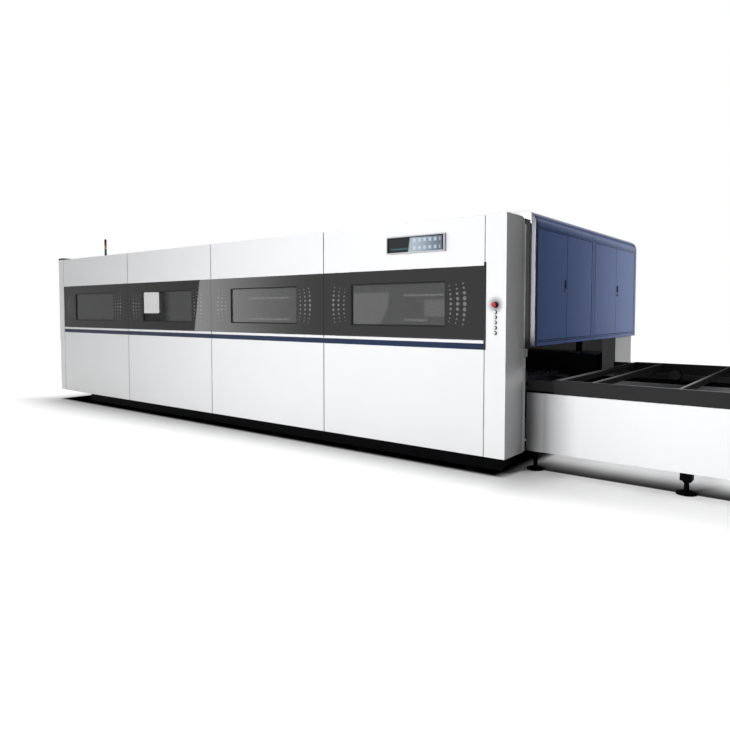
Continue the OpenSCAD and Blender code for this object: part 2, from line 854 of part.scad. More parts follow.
module door_lever(i) color(black_paint) place()
    translate([x_cab + slide_gap, lever_ys[i - 1], z_lever]) {
        extrude_along(lever_t) {
            circle(lever_r);
            translate([-lever_tip_r, 0]) square([2 * lever_tip_r, lever_l]);
            translate([0, lever_l]) circle(lever_tip_r);
        }
        translate([-lever_pin_l, 0, 0]) rotate([0, 90, 0]) cylinder(r = lever_pin_r, h = lever_pin_l + 1);
    }

display_x = [x_bays_end - display_inset - display_w, x_bays_end - display_inset];
display_z = [z_upper + display_rise, z_upper + display_rise + display_h];
screen_recess = 6;

module screen_range(grow)
    block([display_x[0] + display_frame - grow, display_x[1] - display_frame + grow],
          [-display_d - grow, screen_recess - display_d],
          [display_z[0] + display_frame - grow, display_z[1] - display_frame + grow]);

module display_housing() color(steel) place()
    difference() {
        block(display_x, [-display_d, 0], display_z);
        screen_range(0.01);
    }

module display_screen() color([0.05, 0.05, 0.06]) place()
    block([display_x[0] + display_frame + slide_gap, display_x[1] - display_frame - slide_gap],
          [2 - display_d, screen_recess - display_d],
          [display_z[0] + display_frame + slide_gap, display_z[1] - display_frame - slide_gap]);

button_zs = [for (i = [0:button_count - 1]) button_z + i * button_pitch];
estop_z = button_zs[button_count - 1] + estop_gap;
stop_room = 2;

// A round piece on the column's front, pointing towards the operator
module on_column(z)
    translate([-button_inset, 0, z]) rotate([90, 0, 0]) children();

module ring(outer, inner, h)
    difference() {
        cylinder(r = outer, h = h);
        translate([0, 0, -1]) cylinder(r = inner, h = h + 2);
    }

estop_collar_h = estop_travel + 12;

module control_bezels() color(steel) place() {
    for (z = button_zs)
        on_column(z) ring(bezel_r, button_r + pin_fit, bezel_h);
    on_column(estop_z) ring(estop_r + 4, estop_stem_r + pin_fit, estop_collar_h);
}

module push_button(i) color(white_paint) place()
    on_column(button_zs[i - 1])
        translate([0, 0, stop_room + button_travel]) cylinder(r = button_r, h = bezel_h);

module estop_button() color([0.75, 0.06, 0.05]) place()
    on_column(estop_z) {
        z_head = estop_collar_h + estop_travel + stop_room;
        translate([0, 0, stop_room + estop_travel]) cylinder(r = estop_stem_r, h = estop_collar_h);
        translate([0, 0, z_head]) cylinder(r = estop_r, h = 8);
        translate([0, 0, z_head + 8]) cylinder(r1 = estop_r, r2 = estop_r * 0.75, h = 5);
    }

module on_tower(z) place()
    translate([x_left + tower_left, tower_back, z_top + z]) children();

module tower_housing() color(black_paint) {
    z_cap = tower_base_h + len(LENSES) * lens_h;
    on_tower(0) {
        cylinder(r = tower_r * 1.5, h = 14);
        cylinder(r = tower_r, h = tower_base_h);
    }
    on_tower(z_cap) {
        cylinder(r = tower_r, h = tower_cap_h * 0.6);
        translate([0, 0, tower_cap_h * 0.6]) cylinder(r1 = tower_r, r2 = tower_r * 0.6, h = tower_cap_h * 0.4);
    }
}

module tower_lens(i)
    color([[0.1, 0.6, 0.2], [0.95, 0.6, 0.1], [0.85, 0.1, 0.1]][i])
        on_tower(tower_base_h + i * lens_h) cylinder(r = tower_r, h = lens_h);

module bed_sides() color(black_paint) place()
    both_sides()
        translate([bed_x[0], 0, 0])
            extrude_along(bed_x[1] - bed_x[0])
                polygon([[bed_near[0], z_pan], [bed_near[0] + bed_web_w, z_pan],
                         [bed_near[0] + bed_web_w, bed_z - bed_beam_h], [bed_near[1], bed_z - bed_beam_h],
                         [bed_near[1], bed_z - bed_ledge_drop],
                         [bed_near[1] - bed_ledge_d, bed_z - bed_ledge_drop],
                         [bed_near[1] - bed_ledge_d, bed_z], [bed_near[0], bed_z]]);

// Guide rail and rack on top of each bed side
module x_guides() color(steel) place()
    both_sides() {
        block(bed_x, [guide_y - guide_w / 2, guide_y + guide_w / 2], [bed_z, bed_z + guide_h]);
        block(bed_x, [rack_y - rack_w / 2, rack_y + rack_w / 2], [bed_z, bed_z + rack_h]);
    }

module gantry_beam() color(pale_grey_paint) place() {
    block([gantry_x - gantry_half, gantry_x + gantry_half],
          [truck_y[0], 2 * y_mid - truck_y[0]], [z_gantry, z_gantry + gantry_h]);
    for (z = gantry_rail_zs)
        block([gantry_x + gantry_half - 1, gantry_x + gantry_half + gantry_rail_t],
              [truck_y[1] + 20, 2 * y_mid - truck_y[1] - 20], [z, z + gantry_rail_h]);
}

// Trucks on the guide rails, each with its upright drive motor
module gantry_trucks() color(black_paint) place()
    both_sides() {
        motor_r = truck_w * 0.42;
        motor_x = gantry_x + gantry_half + (truck_half - gantry_half) / 2;
        block([gantry_x - truck_half, gantry_x + truck_half], truck_y, [z_truck, z_gantry]);
        translate([motor_x, guide_y, z_gantry - 1]) cylinder(r = motor_r, h = motor_h);
        translate([motor_x, guide_y, z_gantry + motor_h - 2]) cylinder(r = motor_r * 0.8, h = motor_h / 3);
    }

module carriage() color(grey_paint) place() {
    z = [z_gantry + 10, z_gantry + gantry_h + 30];
    block([carriage_x, carriage_x + carriage_t], [y_mid - carriage_half, y_mid + carriage_half], z);
    block([carriage_x + carriage_t - 1, carriage_x + carriage_t + ram_d],
          [y_mid - ram_half, y_mid + ram_half], [nozzle_z + 110, z[1]]);
}

// Slide plate with the focusing head, its cone and its nozzle
module cutting_head() color(steel) place() {
    z_cone = nozzle_z + 60;
    z_body = z_cone + 45;
    body_h = 230;
    block([head_x, head_x + head_plate_t], [y_mid - ram_half * 0.7, y_mid + ram_half * 0.7],
          [z_body + 20, z_body + body_h - 10]);
    block([head_x + head_plate_t - 1, head_axis_x], [y_mid - 25, y_mid + 25], [z_body + 60, z_body + 180]);
    translate([head_axis_x, y_mid, 0]) {
        translate([0, 0, z_body]) cylinder(r = head_r, h = body_h);
        translate([0, 0, z_body + body_h - 1]) cylinder(r = head_r * 0.6, h = 51);
        translate([0, 0, z_cone]) cylinder(r1 = head_r * 0.45, r2 = head_r, h = z_body - z_cone);
        translate([0, 0, nozzle_z + 15]) cylinder(r = head_r * 0.45, h = z_cone - nozzle_z - 14);
        translate([0, 0, nozzle_z]) cylinder(r1 = head_r * 0.1, r2 = head_r * 0.35, h = 16);
    }
}

// A wheel bracket's plate, with the bore of the axle
module wheel_bracket(x, y, axle_z, z_end)
    difference() {
        block([x - bracket_half, x + bracket_half], [y - 1, y + bracket_t], [axle_z - bracket_drop, z_end]);
        translate([x, y - 2, axle_z]) rotate([-90, 0, 0]) cylinder(r = axle_r + pin_fit, h = bracket_t + 4);
    }

// Side rails with wheel brackets and coupling arms, and the cross bars between them
module outer_pallet_frame() color(grey_paint) place() {
    x_end = pallet_x + pallet_l;
    y_bar = [outer_rail_in + weld_gap, 2 * y_mid - outer_rail_in - weld_gap];
    both_sides() {
        block([pallet_x, x_end], [table_y, outer_rail_in], [z_rail, pallet_top]);
        block([pallet_x - arm_l, pallet_x + 1], [table_y + 12, outer_rail_in - 12],
              [z_rail + 12, pallet_top - 9]);
        for (x = wheel_xs) wheel_bracket(pallet_x + x, outer_rail_in, outer_axle_z, z_rail + 70);
    }
    for (x = [pallet_x, x_end - bar_t])
        block([x, x + bar_t], y_bar, [z_bar, pallet_top]);
    for (x = [pallet_x + bar_pitch - 360:bar_pitch:x_end - 3 * bar_t])
        block([x, x + bar_t], y_bar, [z_bar, pallet_top - 4]);
}

// One wheel with its stub axle towards the near rail, its axis on Y
module wheel(r, y, axle_z)
    translate([0, y, axle_z]) rotate([-90, 0, 0]) {
        cylinder(r = r, h = wheel_w);
        translate([0, 0, -wheel_gap - bracket_t]) cylinder(r = axle_r, h = bracket_t + wheel_gap + 1);
        translate([0, 0, slide_gap - wheel_gap]) cylinder(r = axle_r * 1.6, h = wheel_gap + 1 - slide_gap);
    }

module outer_wheels(i) color(steel) place()
    both_sides()
        translate([pallet_x + wheel_xs[i], 0, 0]) wheel(outer_wheel_r, outer_wheel_y, outer_axle_z);

module inner_wheels(i) color(steel) place()
    both_sides()
        translate([x_inner + wheel_xs[i], 0, 0]) wheel(inner_wheel_r, inner_wheel_y, inner_axle_z);

module inner_pallet_frame() color(grey_paint) place() {
    x_end = x_inner + pallet_l;
    y_bar = [inner_rail_in + weld_gap, 2 * y_mid - inner_rail_in - weld_gap];
    both_sides() {
        block([x_inner, x_end], [inner_rail_y, inner_rail_in], [z_inner_rail, z_inner_rail + inner_rail_h]);
        for (x = wheel_xs) wheel_bracket(x_inner + x, inner_rail_in, inner_axle_z, z_inner_rail + 15);
    }
    for (x = concat([x_inner, x_end - bar_t], [for (x = [x_inner + bar_pitch:bar_pitch:x_end - 3 * bar_t]) x]))
        block([x, x + bar_t], y_bar, [z_inner_bar, z_inner_bar + inner_bar_h]);
    for (y = [slat_y[0], y_mid - runner_w / 2, slat_y[1] - runner_w])
        block([x_inner, x_end], [y, y + runner_w], [z_runner, z_slat]);
}

// Pointed slats along the pallet's width, standing on the runners
module inner_pallet_slats() color(steel) place() {
    teeth = floor((slat_y[1] - slat_y[0]) / tooth_pitch);
    pitch = (slat_y[1] - slat_y[0]) / teeth;
    valley = slat_h - tooth_h;
    crest = [for (i = [0:teeth - 1], s = [0.5, 1]) [slat_y[0] + (i + s) * pitch, s < 1 ? slat_h : valley]];
    outline = concat([[slat_y[1], 0], [slat_y[0], 0], [slat_y[0], valley]], crest);
    for (x = [x_inner + bar_t + 20:slat_pitch:x_inner + pallet_l - 2 * bar_t])
        translate([x, 0, z_slat]) extrude_along(slat_t) polygon(outline);
}

module table_panels() color(white_paint) place() {
    z = [table_panel_z, table_panel_top];
    both_sides() block(table_x, [table_y, table_y + table_panel_t], z);
    block([table_reach - table_panel_t, table_reach], [table_y, y_table_far], z);
}

// Stepped tracks: an upper shelf, a web and a lower shelf on each side
module table_tracks() color(black_paint) place()
    both_sides() {
        block(track_x, upper_shelf, [upper_track_z - track_t, upper_track_z]);
        block(track_x, track_web, [lower_track_z + weld_gap, upper_track_z]);
        block(track_x, lower_shelf, [lower_track_z - track_t, lower_track_z]);
    }

// Long beams with foot blocks, cross beams, and posts that carry the tracks
module table_beams() color(black_paint) place() {
    y_long = [table_y + table_panel_t, table_y + table_panel_t + foot_block_w];
    z_post_top = lower_track_z - track_t;
    post_y = [max(y_long[1], lower_shelf[0]) + weld_gap, lower_shelf[1]];
    both_sides() {
        block(table_x, y_long, [table_panel_z, z_beam_top]);
        for (x = foot_xs) {
            block([x - foot_block_w / 2, x + foot_block_w / 2], y_long, [z_block, table_panel_z - weld_gap]);
            block([x - track_post_w / 2, x + track_post_w / 2], post_y, [z_beam_top + weld_gap, z_post_top]);
        }
        for (i = [1:4])
            translate([x_bays_end - i * foot_pitch, 0, 0])
                block([0, track_post_w], post_y, [z_pan, z_post_top]);
    }
    for (x = foot_xs)
        block([x - track_post_w / 2, x + track_post_w / 2],
              [y_long[1] + weld_gap, 2 * y_mid - y_long[1] - weld_gap], [table_panel_z, z_beam_top]);
}

// Geared motor of the pallet drive, on the table's second cross beam
module table_drive() color(grey_paint) place() {
    x = foot_xs[1];
    box_half = track_post_w / 2;
    block([x - box_half, x + box_half], [y_mid - 110, y_mid + 110], [z_beam_top, z_beam_top + 120]);
    translate([x + box_half - 1, y_mid, z_beam_top + 62]) rotate([0, 90, 0]) cylinder(r = 58, h = 260);
    translate([x, y_mid + 109, z_beam_top + 62]) rotate([-90, 0, 0]) cylinder(r = 16, h = 60);
}

base_beams();
floor_pan();
foot_pads();
foot_stems();
frame_posts();
front_lower_panels();
front_upper_panels();
window_bands();
window_panes();
accent_stripe();
left_corner_post();
control_column();
portal_post();
light_curtain();
rear_column();
rear_panels();
roof_panels();
left_end_wall();
roof_end_cap();
cabinet_roof();
cabinet_cheek();
cabinet_carcass();
laser_source();
drive_rack();
for (i = [1:4])
    cabinet_door(i);
for (i = [1:2])
    door_lever(i);
display_housing();
display_screen();
control_bezels();
estop_button();
for (i = [1:button_count])
    push_button(i);
tower_housing();
for (i = [0:len(LENSES) - 1])
    tower_lens(i);
bed_sides();
x_guides();
gantry_beam();
gantry_trucks();
carriage();
cutting_head();
outer_pallet_frame();
outer_wheels(0);  // outer_wheels_front
outer_wheels(1);  // outer_wheels_rear
inner_pallet_frame();
inner_pallet_slats();
inner_wheels(0);  // inner_wheels_front
inner_wheels(1);  // inner_wheels_rear
table_panels();
table_tracks();
table_beams();
table_drive();
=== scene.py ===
import json
import math

import bmesh
import bpy
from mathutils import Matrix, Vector


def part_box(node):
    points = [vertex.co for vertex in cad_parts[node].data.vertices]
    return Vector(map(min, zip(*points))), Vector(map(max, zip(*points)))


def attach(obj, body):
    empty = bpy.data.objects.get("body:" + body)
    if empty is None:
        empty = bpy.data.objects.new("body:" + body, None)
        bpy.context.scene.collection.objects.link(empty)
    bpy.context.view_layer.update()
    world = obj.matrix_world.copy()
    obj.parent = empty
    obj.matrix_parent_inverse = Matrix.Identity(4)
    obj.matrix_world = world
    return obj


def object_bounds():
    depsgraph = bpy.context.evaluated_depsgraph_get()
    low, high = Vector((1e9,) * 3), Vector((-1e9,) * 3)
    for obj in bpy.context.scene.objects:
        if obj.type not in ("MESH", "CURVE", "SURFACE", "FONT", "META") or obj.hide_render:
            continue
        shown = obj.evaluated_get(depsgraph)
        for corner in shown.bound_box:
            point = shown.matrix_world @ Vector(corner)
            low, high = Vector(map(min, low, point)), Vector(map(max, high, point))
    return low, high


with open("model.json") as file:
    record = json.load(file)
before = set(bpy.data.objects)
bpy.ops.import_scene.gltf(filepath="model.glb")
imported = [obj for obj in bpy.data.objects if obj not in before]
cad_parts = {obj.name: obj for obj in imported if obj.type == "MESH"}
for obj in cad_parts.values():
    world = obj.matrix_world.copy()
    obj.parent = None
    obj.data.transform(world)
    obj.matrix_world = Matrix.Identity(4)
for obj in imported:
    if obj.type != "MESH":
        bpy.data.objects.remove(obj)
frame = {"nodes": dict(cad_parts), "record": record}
CAD_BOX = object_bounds()

bl_info = {
    "name": "Sheet cutter looks",
    "version": (1, 0, 0),
    "blender": (4, 5, 0),
    "location": "3D View > Sidebar > Cutter",
    "description": "Paints and trims an enclosed laser sheet cutter and sets it on a pale floor",
    "category": "Object",
}

ROOT = "machine"

# Euler turns that point a shape's own Z axis out of a face of the machine
OUT_FRONT = (math.pi / 2, 0, 0)
OUT_REAR = (-math.pi / 2, 0, 0)
OUT_LEFT = (0, -math.pi / 2, 0)
OUT_TOP = (0, 0, 0)

# Scale that leaves a shape or a pattern as it is
PLAIN = (1, 1, 1)

# Width of the edge between two finishes on one solid
SHARP = 0.001

# What the windows mirror, from the column's face and the floor: a bright card, the lines of a lit room
# (left, right, height) and its pale fields
BAND_CARD = ((-4.0, 1.098), (-1.95, 1.098), (-1.95, 1.706), (-3.89, 1.706))
ROOM_LINES = ((-0.99, -0.57, 1.472), (-0.99, -0.74, 1.254), (-3.05, -2.43, 1.472), (-3.05, -2.43, 1.248))
ROOM_FIELDS = (
    ((-0.77, 1.285), (-0.56, 1.285), (-0.56, 1.431), (-0.77, 1.431)),
    ((-1.58, 1.201), (-1.25, 1.213), (-1.16, 1.373), (-1.15, 1.503), (-1.58, 1.501)),
)


def solid_boxes(node):
    """Lowest and highest corners of a node's separate solids, sorted along X."""
    bm = bmesh.new()
    bm.from_mesh(frame["nodes"][node].data)
    bmesh.ops.remove_doubles(bm, verts=bm.verts, dist=1e-6)
    left = set(bm.verts)
    boxes = []
    while left:
        group = [left.pop()]
        for vert in group:
            near = [edge.other_vert(vert) for edge in vert.link_edges]
            fresh = [other for other in near if other in left]
            left.difference_update(fresh)
            group.extend(fresh)
        corners = [[f(v.co[i] for v in group) for i in range(3)] for f in (min, max)]
        boxes.append(tuple(Vector(c) for c in corners))
    bm.free()
    return sorted(boxes, key=lambda box: tuple(box[0]))


def faces(node):
    """Lowest and highest corner of a node as vectors."""
    low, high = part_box(node)
    return Vector(low), Vector(high)


def middle(low, high):
    """The point half way between two corners."""
    return (low + high) / 2


FRONT_Y = faces("front_lower_panels")[0].y
BAND = faces("window_bands")
REAR_Y = BAND[1].y
LEFT_X = faces("left_end_wall")[0].x
COLUMN = faces("control_column")
EYE = (COLUMN[1].x + 2.170, FRONT_Y - 4.539, 1.332)
ROOF_Z = faces("roof_panels")[1].z
STRIPE = faces("accent_stripe")
PANES = solid_boxes("window_panes")
END_PANE = next(p for p in PANES if p[1].x - p[0].x < p[1].y - p[0].y)
FRONT_PANES = [p for p in PANES if p[0].y < 0 and p is not END_PANE]
REAR_PANES = [p for p in PANES if p[0].y > 0 and p is not END_PANE]


def number(name, description, default, **limits):
    return bpy.props.FloatProperty(name=name, description=description, default=default, **limits)


def length(name, description, default):
    return number(name, description, default, unit="LENGTH")


def amount(name, description, default):
    return number(name, description, default, min=0)


def angle(name, description, degrees):
    return number(name, description, math.radians(degrees), subtype="ANGLE")


def colour(name, description, rgb):
    return bpy.props.FloatVectorProperty(
        name=name, description=description, default=(*rgb, 1), subtype="COLOR", size=4, min=0, max=1
    )


class CutterSizes(bpy.types.PropertyGroup):
    """Sizes of the trim that is added to the machine."""

    pane_lap: length("Pane lap", "How far a pane runs behind the window's edge", 0.0176)
    dot_radius: length("Dot radius", "Radius of the largest dot beside a window", 0.015)
    dot_height: length("Dot height", "Height of a dot above the band", 0.0006)
    dot_column: length("Dot column pitch", "Distance between two columns of dots", 0.066)
    dot_row: length("Dot row pitch", "Distance between the two middle rows of dots", 0.044)
    dot_bow: length("Dot bow", "How far a column of dots bows away from its window", 0.018)
    dot_swell: amount("Last field", "Size of the dots beside the control column against the others", 1.2)
    dot_gap_left: length("Left dot gap", "From the window to the middle of the dots on its left", 0.156)
    dot_gap_right: length("Right dot gap", "From the window to the middle of the dots on its right", 0.118)
    gasket_radius: length("Gasket radius", "Radius of the rubber bead round a window", 0.006)
    window_corner: length("Window corner", "Corner radius of a window", 0.016)
    trim_width: length("Trim width", "Width of the black strip at the band's right end", 0.021)
    trim_depth: length("Trim depth", "Depth of that strip in front of the band", 0.004)
    trim_lap: length("Trim lap", "How far that strip laps over the control column", 0.013)
    trim_rise: length("Trim rise", "How far that strip stands above the band", 0.028)
    # sizes of the black strip that stands in for shade on the cabinet's cover
    shade_strip_width: length("Seal width", "Width of the rubber seal on the cabinet's cover", 0.012)
    shade_strip_depth: length("Seal depth", "Depth of that seal", 0.016)
    bead_width: length("Bead width", "Width of the bead on the control column's rear edge", 0.018)
    bead_height: length("Bead height", "Height of that bead above the column's end face", 0.004)
    skirt_height: length("Skirt height", "Height of the bead below the light barrier", 0.013)
    # radius of the painted shadow round the emergency stop
    stop_shadow: length("Stop field", "Radius of the soft grey field round the emergency stop", 0.085)
    # half the width of the painted shade along a panel's edge
    seam: length("Seam", "Half the width of the dark line along a panel's edge", 0.0045)
    guard_length: length("Guard length", "Length of the chip guard on the far side of the table", 0.3)
    guard_rise: length("Guard rise", "How far the guard stands above the table's panel", 0.062)
    guard_lap: length("Guard lap", "How far the guard reaches down the panel", 0.15)
    guard_gap: length("Guard gap", "Room between the guard and the pallet", 0.003)
    guard_plate: length("Guard plate", "Thickness of the guard", 0.003)
    screw_radius: length("Screw radius", "Radius of a panel screw's head", 0.009)
    screw_height: length("Screw height", "Height of a panel screw's head", 0.004)
    screw_inset: length("Screw inset", "Distance of a screw from the panel's edge", 0.04)
    screw_pitch: length("Screw pitch", "Largest distance between two screws", 0.6)
    tooth_pitch: length("Tooth pitch", "Distance between two teeth of a rack", 0.0126)
    tooth_height: length("Tooth height", "Height of a rack's teeth", 0.006)
    key_width: length("Key slot", "Width of the slot in a door lock", 0.003)


class CutterColours(bpy.types.PropertyGroup):
    """Colours of the machine's finishes."""

    white: colour("White coat", "Enclosure and table panels", (0.82, 0.825, 0.835))
    dust: colour("Dust", "Dust low on the panels", (0.52, 0.50, 0.47))
    # painted shade on faces inside the enclosure, the table and the pallet exit
    inside: colour("Inside coat", "Dark coat on the inner faces", (0.1, 0.098, 0.1))
    # painted shade along joints, round the emergency stop and on the table's left end
    seam: colour("Seam", "Shaded edges of panels and doors", (0.16, 0.16, 0.17))
    pale_grey: colour("Pale grey coat", "Rear column and gantry", (0.45, 0.455, 0.455))
    dark_grey: colour("Dark grey coat", "Pallets and drives", (0.019, 0.019, 0.020))
    # painted highlight on the tops of the pallet bars
    bar: colour("Bar", "Worn tops of the pallet bars near the front", (0.34, 0.335, 0.33))
    # soot with painted shade on the pallets' bars and arms
    soot_and_shade: colour("Soot", "Cutting soot on the pallets' bars and arms", (0.006, 0.006, 0.006))
    blue: colour("Blue coat", "Service cabinet", (0.092, 0.158, 0.370))
    navy: colour("Navy stripe", "Stripe along the front", (0.007, 0.019, 0.056))
    black: colour("Black coat", "Base, tracks and bed", (0.0022, 0.0023, 0.0027))
    # painted light strip on the far track
    track_light_strip: colour("Worn track", "Running face of the far track", (0.35, 0.35, 0.36))
    band: colour("Window band", "Polished dark panels round the windows", (0.006, 0.006, 0.0065))
    pane: colour("Pane", "Laser-safe window pane", (0.058, 0.060, 0.059))
    dot: colour("Dots", "Printed dots beside the windows", (0.15, 0.15, 0.153))
    steel: colour("Steel", "Ground steel", (0.56, 0.57, 0.58))
    silver: colour("Silver", "Anodised frame", (0.62, 0.63, 0.65))
    chrome: colour("Bezel metal", "Bezels of the buttons", (0.60, 0.60, 0.61))
    red: colour("Red plastic", "Emergency stop", (0.55, 0.012, 0.012))
    button: colour("White plastic", "Caps of the push buttons", (0.75, 0.75, 0.75))
    rubber: colour("Rubber", "Window gaskets", (0.006, 0.006, 0.006))
    lens_red: colour("Red lens", "Upper lens of the tower light", (0.16, 0.012, 0.010))
    lens_amber: colour("Amber lens", "Middle lens of the tower light", (0.50, 0.30, 0.04))
    lens_green: colour("Green lens", "Lower lens of the tower light", (0.03, 0.15, 0.08))


class CutterStage(bpy.types.PropertyGroup):
    """Camera, light and floor."""

    eye: bpy.props.FloatVectorProperty(
        name="Eye", description="Place of the camera", default=EYE, subtype="TRANSLATION"
    )
    heading: angle("Heading", "Turn of the camera to the left of +Y", 38.32)
    dip: angle("Dip", "Tilt of the camera below the horizon", 2.746)
    lens: amount("Lens", "Focal length in mm on a 36 mm sensor", 30.64)
    drop: amount("Drop", "How far the picture is shifted down, as a part of its width", 0.0329)
    floor_half: length("Floor", "Half the side of the floor", 24.0)
    floor_bounce: amount("Floor bounce", "How much light the floor throws back on the machine", 0.2)
    ambient: amount("Ambient", "Level of the soft light from all round", 1.2)
    key_power: amount("Key power", "Power of the soft box in front, in watts", 180)
    side_power: amount("Side power", "Power of the soft box beside the cabinet doors, in watts", 30)
    edge_power: amount("Edge power", "Power of the strip light on the cabinet's white edge, in watts", 1.7)
    table_power: amount("Table power", "Power of the soft box in front of the table, in watts", 4)
    work_power: amount("Work power", "Power of the lamp that lights the pallet exit, in watts", 2.6)
    line_level: amount("Line level", "Brightness of the lines that the panes mirror", 4.0)
    field_level: amount("Field level", "Brightness of the fields that the panes mirror", 2.3)
    card_level: amount("Card level", "Brightness of the card that the window band mirrors", 3.7)


class Wire:
    """A socket of a node tree that takes part in Python expressions on values."""

    def __init__(self, tree, socket):
        self.tree = tree
        self.socket = socket

    def apply(self, operation, other=0.0):
        """A function of this value alone, such as its sine, or of this value and another."""
        return self.tree.node("ShaderNodeMath", {"operation": operation}, {0: self, 1: other})

    def __add__(self, other):
        return self.apply("ADD", other)

    def __mul__(self, other):
        return self.apply("MULTIPLY", other)

    def __sub__(self, other):
        return self.apply("SUBTRACT", other)

    def __rsub__(self, other):
        return self.tree.node("ShaderNodeMath", {"operation": "SUBTRACT"}, {0: other, 1: self})

    __radd__ = __add__
    __rmul__ = __mul__

    def rises(self, start, end):
        """0 up to start and 1 from end on, smooth in between."""
        settings = {"interpolation_type": "SMOOTHSTEP"}
        return self.tree.node("ShaderNodeMapRange", settings, {0: self, 1: start, 2: end, 3: 0.0, 4: 1.0})

    def larger(self, other):
        return self.apply("MAXIMUM", other)

    def away(self, value):
        """Distance from a value."""
        return (self - value).apply("ABSOLUTE")

    def hill(self, start, full, fade, end):
        """0 up to start, 1 from full to fade and 0 again from end on."""
        return self.rises(start, full) * (1 - self.rises(fade, end))

    def between(self, low, high, edge=SHARP):
        """1 from low to high and 0 outside, with soft edges."""
        return self.hill(low - edge, low, high, high + edge)


class Tree:
    """A node tree that is filled by expressions."""

    def __init__(self, nodes, links):
        self.nodes = nodes
        self.links = links

    def node(self, kind, settings=None, inputs=None, output=0):
        """A new node: its settings first, then the values or links of its inputs. Returns one output."""
        made = self.nodes.new(kind)
        for key, value in (settings or {}).items():
            setattr(made, key, value)
        for key, value in (inputs or {}).items():
            if isinstance(value, Wire):
                self.links.new(value.socket, made.inputs[key])
            else:
                made.inputs[key].default_value = value
        return Wire(self, made.outputs[output])

    def ray(self, kind):
        """1 for the rays of one kind, 0 for the others."""
        return self.node("ShaderNodeLightPath", output=f"Is {kind} Ray")

    def parts(self, vector):
        """The X, Y and Z of a vector."""
        return [self.node("ShaderNodeSeparateXYZ", inputs={0: vector}, output=i) for i in range(3)]


class Finish(Tree):
    """A procedural material on Object coordinates."""

    def __init__(self, name, **constants):
        self.material = bpy.data.materials.new(name)
        self.material.use_nodes = True
        tree = self.material.node_tree
        super().__init__(tree.nodes, tree.links)
        self.shader = tree.nodes["Principled BSDF"]
        for key, value in constants.items():
            self.shader.inputs[key.replace("_", " ").title().replace("Ior", "IOR")].default_value = value
        self.place = self.node("ShaderNodeTexCoord", output=3)
        self.x, self.y, self.z = self.parts(self.place)
        self.base = None

    def feed(self, **wires):
        for key, wire in wires.items():
            self.links.new(wire.socket, self.shader.inputs[key.replace("_", " ").title()])

    def noise(self, scale, detail=2.0, stretch=PLAIN):
        """Noise from 0 to 1 with that many cells in a metre."""
        where = self.node("ShaderNodeMapping", inputs={0: self.place, 3: stretch})
        return self.node("ShaderNodeTexNoise", inputs={0: where, "Scale": scale, "Detail": detail})

    def mix(self, factor, a, b):
        return self.node("ShaderNodeMix", {"data_type": "RGBA"}, {0: factor, 6: a, 7: b}, output=2)

    def tones(self, factor, key, dark, light):
        """A named colour that runs from a darker to a lighter tone."""
        return self.mix(factor, tint(key, dark), tint(key, light))

    def stain(self, factor, key, level=1.0):
        """Lays another of the machine's colours over the base colour."""
        self.base = self.mix(factor, self.base, tint(key, level))
        self.feed(base_color=self.base)

    def glow(self, strength):
        return self.node("ShaderNodeEmission", inputs={"Color": (1, 1, 1, 1), "Strength": strength})

    def replace_shader(self, surface):
        """Takes another shader in place of the Principled one."""
        self.links.new(surface.socket, self.nodes["Material Output"].inputs["Surface"])
        self.nodes.remove(self.shader)

    def bump(self, height, strength, distance):
        values = {"Strength": strength, "Distance": distance, "Height": height}
        self.feed(normal=self.node("ShaderNodeBump", inputs=values))


def tint(key, factor=1.0):
    """One of the machine's colours, made lighter or darker."""
    rgba = getattr(bpy.context.scene.cutter_colours, key)
    return tuple(min(1.0, c * factor) for c in rgba[:3]) + (1.0,)


def coat(name, key, roughness, drift=0.05, dust=0.0, **constants):
    """Paint with fine orange peel, a slight drift of colour and dust near the floor."""
    look = Finish(name, **constants)
    look.base = look.tones(look.noise(1.7, 3.0), key, 1 - drift, 1 + drift)
    look.feed(base_color=look.base, roughness=roughness - 0.05 + 0.1 * look.noise(9.0, 4.0))
    if dust:
        low = 1 - look.z.rises(0.12, 0.55)
        look.stain(low * look.noise(6.0, 5.0) * dust, "dust")
    look.bump(look.noise(900.0, 1.0), 0.06, 0.0006)
    return look


